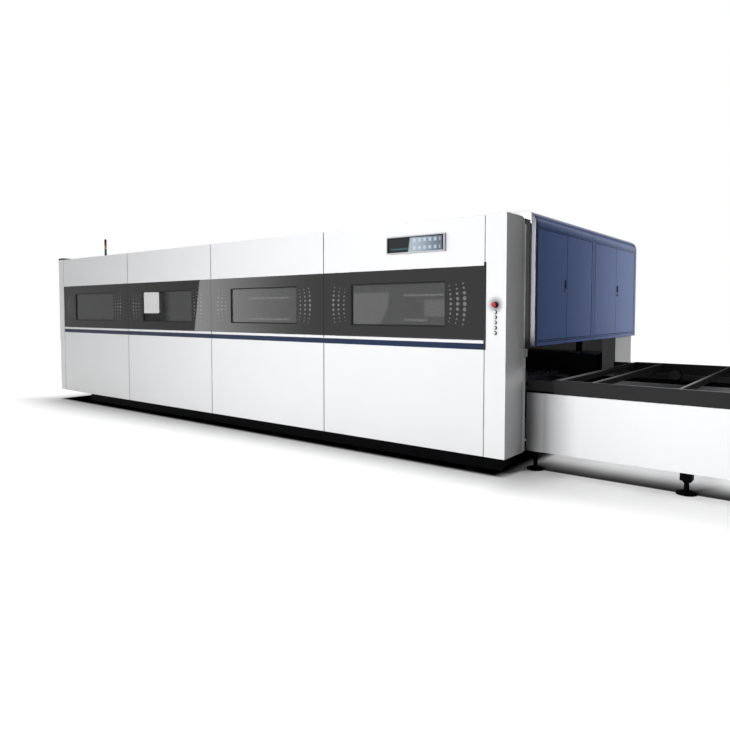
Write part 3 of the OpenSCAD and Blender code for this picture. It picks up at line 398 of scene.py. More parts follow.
def white_coat():
    """Satin white with painted shade along the joints, round the emergency stop and on the table's left end,
    a painted lighter tone on the table, and painted shade on every face that looks into the enclosure or the
    table.
    """
    sizes = bpy.context.scene.cutter_sizes
    look = coat("white_coat", "white", 0.38, drift=0.015, dust=0.12, coat_weight=0.15)
    panels = solid_boxes("front_upper_panels")
    # painted shade along the joints between the panels
    clear = 1.0
    for joint in (panels[0][0].x, *(box[1].x for box in panels)):
        clear = clear * look.x.away(joint).rises(sizes.seam * 0.5, sizes.seam)
    look.stain((1 - clear) * 0.8, "seam")
    # painted shadow round the emergency stop
    stop = middle(*faces("estop_button"))
    cap_radius = 0.015
    across, up = look.x - stop.x, look.z - stop.z
    ring = (across * across + up * up).apply("SQRT")
    stop_shadow = (1 - ring.rises(cap_radius, sizes.stop_shadow)) * (1 - look.y.rises(FRONT_Y, FRONT_Y + SHARP))
    look.stain(stop_shadow * 0.9, "seam")
    table = look.x - COLUMN[1].x
    on_table = table.rises(SHARP, 2 * SHARP)
    # painted light: the table's panels in a lighter white than the rest
    look.stain(on_table, "white", 1.09)
    # painted shadow of the control column on the table's left end
    look.stain(on_table * (1 - table.rises(0.01, 0.24)) * 0.97, "seam", 0.5)
    # painted shade on every face inside the enclosure
    wall = 0.026
    inside = look.x.between(LEFT_X + wall, COLUMN[0].x) * look.y.between(FRONT_Y + wall, REAR_Y - wall)
    inside = inside * (1 - look.z.rises(ROOF_Z - wall - SHARP, ROOF_Z - wall))
    look.stain(inside, "inside")
    # painted shade on the inner faces of the table's panels
    near, far = faces("table_panels")
    plate = 0.019
    well_shade = look.x.between(COLUMN[1].x + 2 * SHARP, far.x - plate)
    well_shade = well_shade * look.y.between(near.y + plate, far.y - plate) * (1 - look.z.rises(far.z, far.z + 0.01))
    look.stain(well_shade, "inside", 0.25)
    return look.material


def pale_grey_coat():
    """Pale grey; painted shade on the rear column's face in the pallet exit, white on the light barrier."""
    look = coat("pale_grey_coat", "pale_grey", 0.42, dust=0.1)
    low, high = faces("rear_column")
    skin = 2 * SHARP
    look.stain(look.x.rises(high.x, high.x + SHARP), "white", 0.9)
    # painted shade on the rear column's face in the pallet exit
    shaded = look.x.between(low.x - skin, high.x - skin) * look.y.between(low.y - skin, low.y + skin)
    look.stain(shaded, "inside")
    return look.material


def dark_grey_coat():
    """Dark grey; the pallets' bars and arms nearly black with soot and painted shade, the bars' tops with a
    painted highlight near the front.
    """
    look = coat("dark_grey_coat", "dark_grey", 0.5, drift=0.12, specular_ior_level=0.2)
    low, high = faces("outer_pallet_frame")
    rail, arm = 0.04, 0.225
    deck = look.x.rises(low.x - 2 * SHARP, low.x) * look.z.rises(low.z, low.z + SHARP)
    back = look.y - (low.y + rail)
    bars = look.x.rises(low.x + arm - SHARP, low.x + arm)
    # near-black soot with painted shade: the column's shadow on the arms, the table's shade on the bars
    # behind the near rail
    look.stain(deck * back.rises(0.0, 0.01).larger(1 - bars), "soot_and_shade")
    # painted highlight on the bars' tops, fading from the front towards the back
    crest = look.z.rises(high.z - 0.014, high.z - 0.009)
    look.stain(deck * crest * back.hill(0.0, 0.01, 0.3, 1.6) * bars, "bar")
    return look.material


def blue_coat():
    """Satin blue with painted shade along the edges of the doors and on the cabinet's face in front of the
    first door.
    """
    sizes = bpy.context.scene.cutter_sizes
    look = coat("blue_coat", "blue", 0.14, drift=0.04)
    doors = [faces(f"cabinet_door_{i}") for i in (1, 2, 3, 4)]
    low, high = doors[0]
    mullion = middle(doors[1][1], doors[2][0]).y
    upright = [door[1].y for door in doors] + [doors[2][0].y, mullion]
    distances = [look.y.away(y) for y in upright] + [look.z.away(z) for z in (low.z, high.z)]
    # painted shade along the doors' edges and on the cabinet's face in front of the first door
    clear = look.y.rises(low.y - 0.004, low.y + 0.002)
    for distance in distances:
        clear = clear * distance.rises(sizes.seam * 0.6, sizes.seam * 1.2)
    look.stain(1 - clear, "blue", 0.25)
    return look.material


def black_coat():
    """Matt black, with a painted light strip along the far track."""
    look = coat("black_coat", "black", 0.55, drift=0.15, specular_ior_level=0.03)
    high = faces("table_tracks")[1]
    # painted light strip along the far track, standing in for the lit floor seen past it
    light_strip = look.x.rises(COLUMN[1].x, COLUMN[1].x + 0.05) * look.y.rises(high.y - 0.4, high.y - 0.39)
    light_strip = light_strip * look.z.between(high.z - 0.1, high.z - 0.045, 0.004)
    look.stain(light_strip * (0.6 + 0.4 * look.noise(4.0, 3.0)), "track_light_strip")
    return look.material


def polished_band():
    """Dark polished panel with faint wipe marks in its gloss."""
    look = Finish("polished_band")
    wipes = look.noise(14.0, 4.0, stretch=(0.4, 1, 1.6))
    look.feed(base_color=look.tones(wipes, "band", 0.9, 1.15), roughness=0.008 + 0.02 * wipes)
    look.bump(look.noise(2.2, 1.0), 0.02, 0.002)
    return look.material


def tinted_pane():
    """Tinted pane: clear in the end wall and the second window's left half, almost opaque elsewhere."""
    look = Finish("tinted_pane")
    smudge = look.noise(11.0, 4.0)
    rear = look.y.rises(REAR_Y - 0.1, REAR_Y - 0.09)
    end = 1 - look.x.rises(LEFT_X + 0.09, LEFT_X + 0.1)
    low, high = FRONT_PANES[1]
    wide = high.x - low.x
    clear = look.x.hill(low.x - 0.1, low.x, low.x + 0.42 * wide, low.x + 0.6 * wide) * (1 - rear)
    look.feed(
        base_color=look.tones(smudge, "pane", 0.8, 1.2),
        roughness=0.015 + 0.03 * smudge,
        alpha=0.85 + 0.15 * rear - 0.8 * end - 0.65 * clear,
    )
    return look.material


def metal(name, key, roughness, stretch=PLAIN, lines=60.0):
    """Metal with fine machining lines, drawn out along one axis by a stretch."""
    look = Finish(name, metallic=1.0)
    grain = look.noise(lines, 5.0, stretch)
    stain = grain * 0.5 + look.noise(5.0, 3.0) * 0.5
    look.feed(base_color=look.tones(stain, key, 0.82, 1.12), roughness=roughness - 0.06 + 0.14 * grain)
    look.bump(grain, 0.05, 0.0004)
    return look.material


def bezel_chrome():
    """Chrome with painted shade on the right of each button, bright on its left."""
    look = Finish("bezel_chrome", metallic=1.0)
    grain = look.noise(400.0, 4.0)
    look.base = look.tones(grain, "chrome", 0.9, 1.1)
    look.feed(roughness=0.1 + 0.08 * grain)
    axis = middle(*faces("push_button_1")).x
    # painted shade on the right half of each bezel
    look.stain((look.x - axis).rises(-0.006, 0.001), "chrome", 0.012)
    return look.material


def moulded(name, key, roughness, coat_weight=0.3):
    """Moulded plastic with a fine spark-eroded grain."""
    look = Finish(name, coat_weight=coat_weight, coat_roughness=0.08)
    grain = look.noise(1400.0, 2.0)
    look.feed(base_color=look.tones(look.noise(30.0), key, 0.94, 1.06), roughness=roughness + 0.08 * grain)
    look.bump(grain, 0.04, 0.0003)
    return look.material


def ribbed_lens(name, key):
    """Coloured lens with fine upright prisms and a painted highlight along their crests."""
    prisms = 36.0
    axis = middle(*faces("tower_lens_amber"))
    look = Finish(name, coat_weight=0.5, coat_roughness=0.05)
    turn = (look.y - axis.y).apply("ARCTAN2", look.x - axis.x)
    crest = 0.5 + 0.5 * (turn * prisms).apply("SINE")
    # painted highlight: the lens colour is lighter along each prism's crest
    look.feed(base_color=look.tones(crest, key, 0.75, 1.2), roughness=0.16 + 0.1 * crest)
    look.bump(crest, 0.5, 0.001)
    return look.material


def status_screen():
    """Dark screen whose right-hand part shows a pale slanted field with plain bars."""
    low, high = faces("display_screen")
    look = Finish("status_screen", specular_ior_level=0.15)
    along = (look.x - low.x) * (1 / (high.x - low.x))
    up = (look.z - low.z) * (1 / (high.z - low.z))
    field = (along - 0.035 * up).rises(0.375, 0.40)
    pale = look.mix(along.rises(0.45, 1.0), (0.36, 0.42, 0.47, 1), (0.12, 0.15, 0.20, 1))
    rows, ticks = (up * 2.0).apply("FRACT"), (along * 11.0).apply("FRACT")
    blocks = rows.between(0.28, 0.66, 0.06) * ticks.between(0.26, 0.7, 0.06)
    blocks = blocks * along.between(0.47, 0.93, 0.03)
    line = rows.between(0.36, 0.54, 0.06) * (1 - up.rises(0.40, 0.42)) * along.rises(0.06, 0.08)
    rim = (1 - along.rises(0.025, 0.04)).larger(up.rises(0.92, 0.95)).larger(along.rises(0.97, 0.985))
    tone = look.mix(field, (0.022, 0.024, 0.026, 1), pale)
    tone = look.mix(blocks * field * 0.6, tone, (0.55, 0.68, 0.76, 1))
    tone = look.mix(line * (1 - field) * 0.5, tone, (0.06, 0.16, 0.19, 1))
    tone = look.mix(rim, tone, (0.004, 0.004, 0.005, 1))
    look.feed(base_color=tone, roughness=0.2 + 0.05 * look.noise(40.0))
    return look.material


def finishes():
    """One material for each of the record's slots."""
    along_x = (0.02, 1, 1)
    return {
        "white_paint": white_coat(),
        "pale_grey_paint": pale_grey_coat(),
        "dark_grey_paint": dark_grey_coat(),
        "blue_paint": blue_coat(),
        "navy_stripe": coat("navy_stripe", "navy", 0.45, drift=0.06, specular_ior_level=0.25).material,
        "black_paint": black_coat(),
        "gloss_band": polished_band(),
        "tinted_glass": tinted_pane(),
        "bright_steel": metal("ground_steel", "steel", 0.32, along_x),
        "silver_frame": metal("anodised_frame", "silver", 0.35, along_x, lines=200.0),
        "screen_glass": status_screen(),
        "chrome_bezel": bezel_chrome(),
        "red_plastic": moulded("stop_red", "red", 0.25),
        "white_plastic": moulded("button_white", "button", 0.3),
        "black_plastic": moulded("black_plastic", "black", 0.4, coat_weight=0.1),
        "lens_red": ribbed_lens("red_lens", "lens_red"),
        "lens_amber": ribbed_lens("amber_lens", "lens_amber"),
        "lens_green": ribbed_lens("green_lens", "lens_green"),
    }


def add_object(name, data):
    obj = bpy.data.objects.new(name, data)
    bpy.context.collection.objects.link(obj)
    return obj


class Pattern(Tree):
    """A Geometry Nodes tree that sets one shape on every point of a mesh."""

    def __init__(self, name, *sizes):
        self.group = bpy.data.node_groups.new(name, "GeometryNodeTree")
        super().__init__(self.group.nodes, self.group.links)
        sockets = [("Points", "INPUT", "Geometry"), *((size, "INPUT", "Float") for size in sizes)]
        sockets += [("Material", "INPUT", "Material"), ("Shape", "OUTPUT", "Geometry")]
        for label, side, kind in sockets:
            self.group.interface.new_socket(label, in_out=side, socket_type="NodeSocket" + kind)
        self.source = self.nodes.new("NodeGroupInput")

    def value(self, name):
        return Wire(self, self.source.outputs[name])

    def attribute(self, name, data_type):
        return self.node("GeometryNodeInputNamedAttribute", {"data_type": data_type}, {"Name": name})

    def set_on_points(self, shape):
        """Puts the shape on every point, turned by turn and scaled by size, and closes the tree."""
        inputs = {
            "Points": self.value("Points"),
            "Instance": shape,
            "Rotation": self.attribute("turn", "FLOAT_VECTOR"),
            "Scale": self.attribute("size", "FLOAT_VECTOR"),
        }
        placed = self.node("GeometryNodeInstanceOnPoints", inputs=inputs)
        plain = self.node("GeometryNodeRealizeInstances", inputs={0: placed})
        dressed = self.node("GeometryNodeSetMaterial", inputs={0: plain, 2: self.value("Material")})
        out = self.nodes.new("NodeGroupOutput")
        self.links.new(dressed.socket, out.inputs[0])

    def bake(self, name, points, values):
        """Runs the tree on (place, turn, size) points and returns an object with the plain mesh."""
        mesh = bpy.data.meshes.new(name)
        mesh.from_pydata([tuple(p[0]) for p in points], [], [])
        for index, key in ((1, "turn"), (2, "size")):
            data = mesh.attributes.new(key, "FLOAT_VECTOR", "POINT").data
            data.foreach_set("vector", [c for p in points for c in p[index]])
        obj = add_object(name, mesh)
        modifier = obj.modifiers.new("Pattern", "NODES")
        modifier.node_group = self.group
        for item in self.group.interface.items_tree:
            if item.in_out == "INPUT" and item.name in values:
                modifier[item.identifier] = values[item.name]
        shown = obj.evaluated_get(bpy.context.evaluated_depsgraph_get())
        plain = bpy.data.meshes.new_from_object(shown)
        obj.modifiers.remove(modifier)
        obj.data = plain
        if not plain.polygons:
            raise RuntimeError(f"{name} came out empty")
        return obj


def frustum(tree, sides, bottom, top, height):
    """A round shape that stands on its points and narrows towards its top."""
    sizes = {"Vertices": sides, "Radius Top": top, "Radius Bottom": bottom, "Depth": height}
    return tree.node("GeometryNodeMeshCone", {"fill_type": "NGON"}, sizes)


def add_mesh(name, bm, material):
    """An object at the origin from a bmesh, with its normals turned outwards."""
    bmesh.ops.recalc_face_normals(bm, faces=bm.faces)
    mesh = bpy.data.meshes.new(name)
    bm.to_mesh(mesh)
    bm.free()
    mesh.materials.append(material)
    return add_object(name, mesh)


def loft(rings):
    """A bmesh with faces between neighbouring rings of places and over the first and the last ring."""
    bm = bmesh.new()
    rings = [[bm.verts.new(place) for place in ring] for ring in rings]
    for a, b in zip(rings, rings[1:]):
        for i in range(len(a)):
            j = (i + 1) % len(a)
            bm.faces.new((a[i], a[j], b[j], b[i]))
    for end in (rings[0], rings[-1]):
        bm.faces.new(end)
    return bm


def mount(obj, body):
    """The piece moves with a body."""
    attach(obj, body)


class CUTTER_OT_paint(bpy.types.Operator):
    """Give every solid of the machine the finish of its slot"""

    bl_idname = "cutter.paint"
    bl_label = "Paint the machine"

    def execute(self, context):
        looks = finishes()
        for part in frame["record"]["subparts"]:
            mesh = frame["nodes"][part["node"]].data
            mesh.materials.clear()
            mesh.materials.append(looks[part["material_slot"]])
        return {"FINISHED"}


class CUTTER_OT_dots(bpy.types.Operator):
    """Print the fields of dots beside the windows"""

    bl_idname = "cutter.dots"
    bl_label = "Window dots"

    def field(self, centre, turn, sizes, grows, swell):
        """Three bowed columns of dots, largest half way up and away from the window."""
        reach, arc = 4, 0.19
        for column in (-1, 0, 1):
            outward = column * grows
            for row in range(-reach, reach + 1):
                bend = (1 - math.cos(row * arc)) / (1 - math.cos(reach * arc))
                across = column * sizes.dot_column - grows * sizes.dot_bow * bend
                up = math.sin(row * arc) / arc * sizes.dot_row * (1 + 0.06 * outward)
                middling = math.cos(row / (reach + 0.5) * math.pi / 2) ** 2
                scale = swell * (0.4 + 0.6 * middling) * (0.85 + 0.15 * outward)
                yield centre + Vector((across, 0, up)), turn, (scale, scale, 1)

    def execute(self, context):
        sizes = context.scene.cutter_sizes
        tree = Pattern("window_dots", "Radius", "Height")
        radius = tree.value("Radius")
        tree.set_on_points(frustum(tree, 14, radius, radius * 0.9, tree.value("Height")))
        points = []
        for panes, y, turn in ((FRONT_PANES, FRONT_Y, OUT_FRONT), (REAR_PANES, REAR_Y, OUT_REAR)):
            for low, high in panes:
                z = middle(low, high).z
                left = low.x + sizes.pane_lap - sizes.dot_gap_left
                right = high.x - sizes.pane_lap + sizes.dot_gap_right
                swell = sizes.dot_swell if (low, high) == FRONT_PANES[-1] else 1.0
                points += self.field(Vector((left, y, z)), turn, sizes, -1, 1.0)
                points += self.field(Vector((right, y, z)), turn, sizes, 1, swell)
        look = Finish("dot_print", roughness=0.04)
        look.feed(base_color=look.tones(look.noise(60.0), "dot", 0.85, 1.15))
        values = {"Radius": sizes.dot_radius, "Height": sizes.dot_height, "Material": look.material}
        mount(tree.bake("window_dots", points, values), ROOT)
        return {"FINISHED"}


class CUTTER_OT_gaskets(bpy.types.Operator):
    """Lay a rubber bead round every window"""

    bl_idname = "cutter.gaskets"
    bl_label = "Window gaskets"

    def execute(self, context):
        sizes = context.scene.cutter_sizes
        tree = Pattern("window_gaskets", "Width", "Height", "Corner", "Bead")
        sides = {0: tree.value("Width"), 1: tree.value("Height")}
        outline = tree.node("GeometryNodeCurvePrimitiveQuadrilateral", inputs=sides)
        fillet = {"Curve": outline, "Count": 6, "Radius": tree.value("Corner")}
        outline = tree.node("GeometryNodeFilletCurve", {"mode": "POLY"}, fillet)
        section = {"Resolution": 10, "Radius": tree.value("Bead")}
        bead = tree.node("GeometryNodeCurvePrimitiveCircle", inputs=section)
        tree.set_on_points(tree.node("GeometryNodeCurveToMesh", inputs={0: outline, 1: bead}))
        rubber = moulded("gasket_rubber", "rubber", 0.55, coat_weight=0.0)
        bead_r = sizes.gasket_radius
        trim = 2 * (sizes.pane_lap + bead_r)
        low, high = FRONT_PANES[0]
        values = {
            "Width": high.x - low.x - trim,
            "Height": high.z - low.z - trim,
            "Corner": sizes.window_corner,
            "Bead": bead_r,
            "Material": rubber,
        }
        points = []
        walls = ((FRONT_PANES, 0, -bead_r, OUT_FRONT), (REAR_PANES, 1, bead_r, OUT_REAR))
        for panes, side, out, turn in walls:
            for pane in panes:
                at = middle(*pane)
                points.append(((at.x, pane[side].y + out, at.z), turn, PLAIN))
        mount(tree.bake("window_gaskets", points, values), ROOT)
        low, high = END_PANE
        values["Width"] = high.z - low.z - trim
        values["Height"] = high.y - low.y - trim
        at = middle(low, high)
        points = [((low.x - bead_r, at.y, at.z), OUT_LEFT, PLAIN)]
        mount(tree.bake("end_window_gasket", points, values), ROOT)
        return {"FINISHED"}


class CUTTER_OT_strips(bpy.types.Operator):
    """Fit the black strip of the window band, a black strip of painted shade on the cabinet's cover and the
    beads of the control column
    """

    bl_idname = "cutter.strips"
    bl_label = "Edge strips"

    def strip(self, name, outline, low, high, material, slot):
        """An upright strip from its outline in X and Y, closed at both ends."""
        bm = loft([[(x, y, z) for x, y in outline] for z in (low, high)])
        mount(add_mesh(name, bm, material), ROOT)

    def execute(self, context):
        sizes = context.scene.cutter_sizes
        # black rubber for the band's strip and for the strip of painted shade on the cabinet's cover
        rubber = moulded("strip_rubber", "rubber", 0.5, coat_weight=0.0)
        right = faces("front_upper_panels")[1].x + sizes.trim_lap
        left, deep, soft = right - sizes.trim_width, FRONT_Y - sizes.trim_depth, sizes.trim_depth * 0.6
        outline = [(left, FRONT_Y), (left, deep + soft), (left + soft, deep), (right - soft, deep)]
        outline += [(right, deep + soft), (right, FRONT_Y)]
        self.strip("band_trim", outline, STRIPE[0].z, BAND[1].z + sizes.trim_rise, rubber, "black_plastic")
        # a black strip standing in for shade on the left edge of the cabinet's cover
        post, cover = faces("portal_post"), faces("cabinet_cheek")
        near, soft = cover[0].y - sizes.shade_strip_depth, sizes.shade_strip_width * 0.3
        left, right, far = post[1].x, post[1].x + sizes.shade_strip_width, cover[0].y
        outline = [(left, near), (right - soft, near), (right, near + soft), (right, far), (left, far)]
        self.strip("cabinet_seal", outline, cover[0].z + 0.004, post[1].z - 0.03, rubber, "black_plastic")
        face, back, wide = COLUMN[1].x, COLUMN[1].y, sizes.bead_width
        steps = 6
        bead = coat("bead_coat", "white", 0.3, drift=0.02).material
        barrier = faces("light_curtain")
        upper = ("column_bead", sizes.bead_height, barrier[1].z + 0.01, COLUMN[1].z - 0.06)
        lower = ("column_skirt", sizes.skirt_height, COLUMN[0].z + 0.01, barrier[0].z - 0.005)
        for name, high, bottom, top in (upper, lower):
            outline = [(face, back - wide), (face + high * 0.6, back - wide * 0.75)]
            for i in range(steps + 1):
                turn = math.pi / 2 * i / steps
                outline.append((face + high * math.cos(turn), back - wide * 0.4 * (1 - math.sin(turn))))
            self.strip(name, outline, bottom, top, bead, "white_paint")
        return {"FINISHED"}


class CUTTER_OT_guard(bpy.types.Operator):
    """Hang a black chip guard on the far side of the table, beside the pallet exit"""

    bl_idname = "cutter.guard"
    bl_label = "Chip guard"

    def execute(self, context):
        sizes = context.scene.cutter_sizes
        low, high = faces("table_panels")
        step, thick = sizes.guard_gap, sizes.guard_plate
        wall, lip, top = high.y, high.z - 0.012, high.z + sizes.guard_rise
        inner, outer, foot = wall + step, wall + step + thick, lip - sizes.guard_lap
        outline = [(wall, foot), (wall, lip), (inner, lip + step), (inner, top), (outer, top), (outer, foot)]
        ends = (low.x, low.x + sizes.guard_length)
        bm = loft([[(x, y, z) for y, z in outline] for x in ends])
        black = coat("guard_black", "black", 0.5, drift=0.1).material
        mount(add_mesh("chip_guard", bm, black), ROOT)
        return {"FINISHED"}


class CUTTER_OT_screws(bpy.types.Operator):
    """Screw down the roof panels and the end wall"""

    bl_idname = "cutter.screws"
    bl_label = "Panel screws"

    def edge_points(self, low, high, axes, sizes):
        """Places along the four edges of a rectangle between two corners."""
        a, b = axes
        start = [low[i] + sizes.screw_inset for i in axes]
        end = [high[i] - sizes.screw_inset for i in axes]
        counts = [max(2, math.ceil((end[i] - start[i]) / sizes.screw_pitch) + 1) for i in (0, 1)]
        for i in range(counts[0]):
            for edge in (start[1], end[1]):
                yield {a: start[0] + i * (end[0] - start[0]) / (counts[0] - 1), b: edge}
        for i in range(1, counts[1] - 1):
            for edge in (start[0], end[0]):
                yield {a: edge, b: start[1] + i * (end[1] - start[1]) / (counts[1] - 1)}

    def execute(self, context):
        sizes = context.scene.cutter_sizes
        tree = Pattern("panel_screws", "Radius", "Height")
        radius, height = tree.value("Radius"), tree.value("Height")
        flange = frustum(tree, 12, radius * 1.25, radius * 1.15, height * 0.35)
        head = frustum(tree, 12, radius, radius * 0.7, height)
        both = tree.nodes.new("GeometryNodeJoinGeometry")
        for shape in (flange, head):
            tree.links.new(shape.socket, both.inputs[0])
        tree.set_on_points(Wire(tree, both.outputs[0]))
        points = []
        for low, high in solid_boxes("roof_panels"):
            for at in self.edge_points(low, high, (0, 1), sizes):
                points.append(((at[0], at[1], high.z), OUT_TOP, PLAIN))
        low, high = faces("left_end_wall")
        for at in self.edge_points(low, high, (1, 2), sizes):
            points.append(((low.x, at[1], at[2]), OUT_LEFT, PLAIN))
        cap = faces("roof_end_cap")
        points = [p for p in points if p[1] != OUT_TOP or p[0][0] > cap[1].x + sizes.screw_inset]
        steel = metal("screw_steel", "steel", 0.3, lines=300.0)
        values = {"Radius": sizes.screw_radius, "Height": sizes.screw_height, "Material": steel}
        mount(tree.bake("panel_screws", points, values), ROOT)
        return {"FINISHED"}


class CUTTER_OT_rack_teeth(bpy.types.Operator):
    """Cut teeth on top of the gantry's racks"""

    bl_idname = "cutter.rack_teeth"
    bl_label = "Rack teeth"

    def execute(self, context):
        sizes = context.scene.cutter_sizes
        tree = Pattern("rack_teeth", "Pitch", "Tooth height")
        half = tree.value("Pitch") * 0.6
        tree.set_on_points(frustum(tree, 4, half, half * 0.4, tree.value("Tooth height")))
        steel = metal("rack_steel", "steel", 0.28, lines=200.0)
        racks = sorted(solid_boxes("x_guides"), key=lambda box: box[1].z)[:2]
        points = []
        for low, high in racks:
            wide = (high.y - low.y) / (sizes.tooth_pitch * 1.2 / math.sqrt(2))
            for i in range(int((high.x - low.x) / sizes.tooth_pitch)):
                x = low.x + (i + 0.5) * sizes.tooth_pitch
                points.append(((x, middle(low, high).y, high.z), OUT_TOP, (1, wide, 1)))
        values = {"Pitch": sizes.tooth_pitch, "Tooth height": sizes.tooth_height, "Material": steel}
        mount(tree.bake("rack_teeth", points, values), ROOT)
        return {"FINISHED"}


class CUTTER_OT_locks(bpy.types.Operator):
    """Set a lock face with a key slot under each door lever"""

    bl_idname = "cutter.locks"
    bl_label = "Door locks"

    def lock(self, name, body, lever, sizes, material):
        """A turned ring with a slot across its middle, on the door's lock barrel."""
        node = "cabinet_" + body
        front = faces(node)[1].x
        barrel = [v.co.z for v in frame["nodes"][node].data.vertices if v.co.x > front - 1e-4]
        axis_y = middle(*faces(lever)).y
        axis_z = sum(barrel) / len(barrel)
        radius = (max(barrel) - min(barrel)) / 2
        steps = 24
        turns = [2 * math.pi * i / steps for i in range(steps)]
        rings = []
        for share, height in ((0.95, 0.0), (0.95, 0.0015), (0.7, 0.0025), (0.6, 0.0012)):
            x, r = front + height, share * radius
            rings.append([(x, axis_y + r * math.cos(turn), axis_z + r * math.sin(turn)) for turn in turns])
        bm = loft(rings)
        slot_height = 0.0012
        for vert in bmesh.ops.create_cube(bm, size=1.0)["verts"]:
            x, y, z = vert.co
            out = front + slot_height * (0.5 + x)
            vert.co = (out, axis_y + y * sizes.key_width, axis_z + z * radius * 0.8)
        mount(add_mesh(name, bm, material), body)

    def execute(self, context):
        sizes = context.scene.cutter_sizes
        chrome = metal("lock_chrome", "chrome", 0.2, lines=500.0)
        self.lock("lock_face_1", "door_1", "door_lever_1", sizes, chrome)
        self.lock("lock_face_2", "door_4", "door_lever_2", sizes, chrome)
        return {"FINISHED"}


class CUTTER_OT_stage(bpy.types.Operator):
    """Set the camera, the soft light and the pale floor"""

    bl_idname = "cutter.stage"
    bl_label = "Camera, light and floor"

    def seen(self, tree):
        """1 for rays that show the background: from the camera, in a mirror or through glass."""
        return tree.ray("Camera").larger(tree.ray("Glossy")).larger(tree.ray("Transmission"))

    def add_world(self, context, stage):
        """White to the camera; what mirrors see and the soft light it gives are darker towards the table."""
        world = bpy.data.worlds.new("soft_room")
        context.scene.world = world
        world.use_nodes = True
        tree = Tree(world.node_tree.nodes, world.node_tree.links)
        right, back, up = tree.parts(tree.node("ShaderNodeTexCoord"))
        mirrored = (1 - 0.35 * back.rises(0.0, 0.4)) * (1 - 0.95 * right.rises(0.235, 0.345))
        mirrored = mirrored * (0.6 + 0.4 * right.rises(-0.8, -0.7)) * (1 - 0.6 * up.rises(0.15, 0.6))
        grazing = back.rises(0.0, 0.3) * right.hill(-0.1, 0.0, 0.1, 0.22)
        mirrored = mirrored * (1 - 0.85 * grazing)
        soft = stage.ambient * (1 - (0.93 - 0.55 * back.rises(-0.1, 0.3)) * right.rises(-0.2, 0.15))
        level = soft + (mirrored - soft) * self.seen(tree)
        background = tree.nodes["Background"]
        background.inputs["Color"].default_value = (1, 1, 1, 1)
        tree.links.new(tree.ray("Camera").larger(level).socket, background.inputs["Strength"])

    def add_floor(self, stage):
        """A pale floor that fades to white away from the machine, keeps its shadow and carries painted
        shadows round the machine and painted light under the table.
        """
        bm = bmesh.new()
        bmesh.ops.create_grid(bm, x_segments=4, y_segments=4, size=stage.floor_half)
        look = Finish("pale_floor")
        face = COLUMN[1].x
        end_x, end_y = CAD_BOX[1][:2]
        far = (look.x.away(0.0) - end_x).larger(look.y.away(0.0) - end_y).rises(-0.1, 1.2)
        back = look.y - FRONT_Y
        # painted shadow on the floor under the machine
        under_shadow = look.x.hill(LEFT_X - 0.03, LEFT_X + 0.05, face - 0.12, face + 0.1)
        under_shadow = under_shadow * back.rises(-0.07, 0.04) * (1 - look.y.rises(REAR_Y - 0.1, REAR_Y + 0.1))
        # painted shade on the floor in front of the machine
        apron_shade = look.x.hill(LEFT_X - 0.5, LEFT_X + 0.3, face, face + 0.5) * back.rises(-0.65, -0.02)
        # painted shadow of the table along its front feet
        table = look.x.hill(face - 0.05, face + 0.05, end_x - 0.2, end_x)
        table_shadow = table * back.hill(0.415, 0.435, 0.45, 0.95)
        # painted shade on the floor behind the table, seen only in mirrors
        dim = look.ray("Glossy") * look.x.rises(face + 0.3, face + 1.5) * look.y.rises(REAR_Y, REAR_Y + 3.0)
        shade_level = under_shadow.larger(0.28 * apron_shade).larger(0.95 * table_shadow).larger(0.95 * dim)
        # painted light: a glow on the floor further under the table
        lit = table * back.hill(0.6, 1.0, 2.3, 2.6)
        tone = look.mix(shade_level, (1, 1, 1, 1), (0, 0, 0, 1))
        white = look.node("ShaderNodeBsdfDiffuse", inputs={"Color": tone})
        glow = look.glow((far * 0.5 + lit * 0.35) * (1 - dim))
        open_floor = look.node("ShaderNodeAddShader", inputs={0: white, 1: glow})
        left = 1 - look.x.rises(face - 4.0, face - 0.5)
        pale, dull = ((level, level, level, 1) for level in (4 * stage.floor_bounce, stage.floor_bounce))
        matt = look.node("ShaderNodeBsdfDiffuse", inputs={"Color": look.mix(left, dull, pale)})
        both = look.node("ShaderNodeMixShader", inputs={0: self.seen(look), 1: matt, 2: open_floor})
        look.replace_shader(both)
        add_mesh("pale_floor", bm, look.material)

    def add_box(self, name, place, aim, size, power, spread):
        """A rectangular soft box that looks from one place in the machine's front frame at another."""
        corner = Vector((COLUMN[1].x, FRONT_Y, 0))
        lamp = bpy.data.lights.new(name, "AREA")
        lamp.shape = "RECTANGLE"
        lamp.size, lamp.size_y = size
        lamp.energy = power
        lamp.spread = math.radians(spread)
        obj = add_object(name, lamp)
        obj.location = corner + Vector(place)
        obj.rotation_euler = (Vector(aim) - Vector(place)).to_track_quat("-Z", "Y").to_euler()
        obj.visible_camera = False
        obj.visible_glossy = False

    def add_sheet(self, name, places, look, hidden):
        """A flat sheet through those places, hidden from some kinds of rays."""
        bm = bmesh.new()
        bm.faces.new([bm.verts.new(place) for place in places])
        sheet = add_mesh(name, bm, look.material)
        for ray in hidden:
            setattr(sheet, "visible_" + ray, False)

    def add_card(self, stage, name, level, fade, corners, depth):
        """A glowing card whose mirror image fills those corners (x, z) of the window plane."""
        eye = Vector(stage.eye)
        grow = 1 + depth / (FRONT_Y - eye.y)
        places = []
        for x, z in corners:
            across, up = COLUMN[1].x + x - eye.x, z - eye.z
            places.append((eye.x + across * grow, FRONT_Y - depth, eye.z + up * grow))
        look = Finish(name)
        left, right = (f(place[0] for place in places) for f in (min, max))
        look.replace_shader(look.glow(level - (level - fade) * look.x.rises(left, right)))
        self.add_sheet(name, places, look, ("camera", "diffuse", "transmission", "volume_scatter", "shadow"))

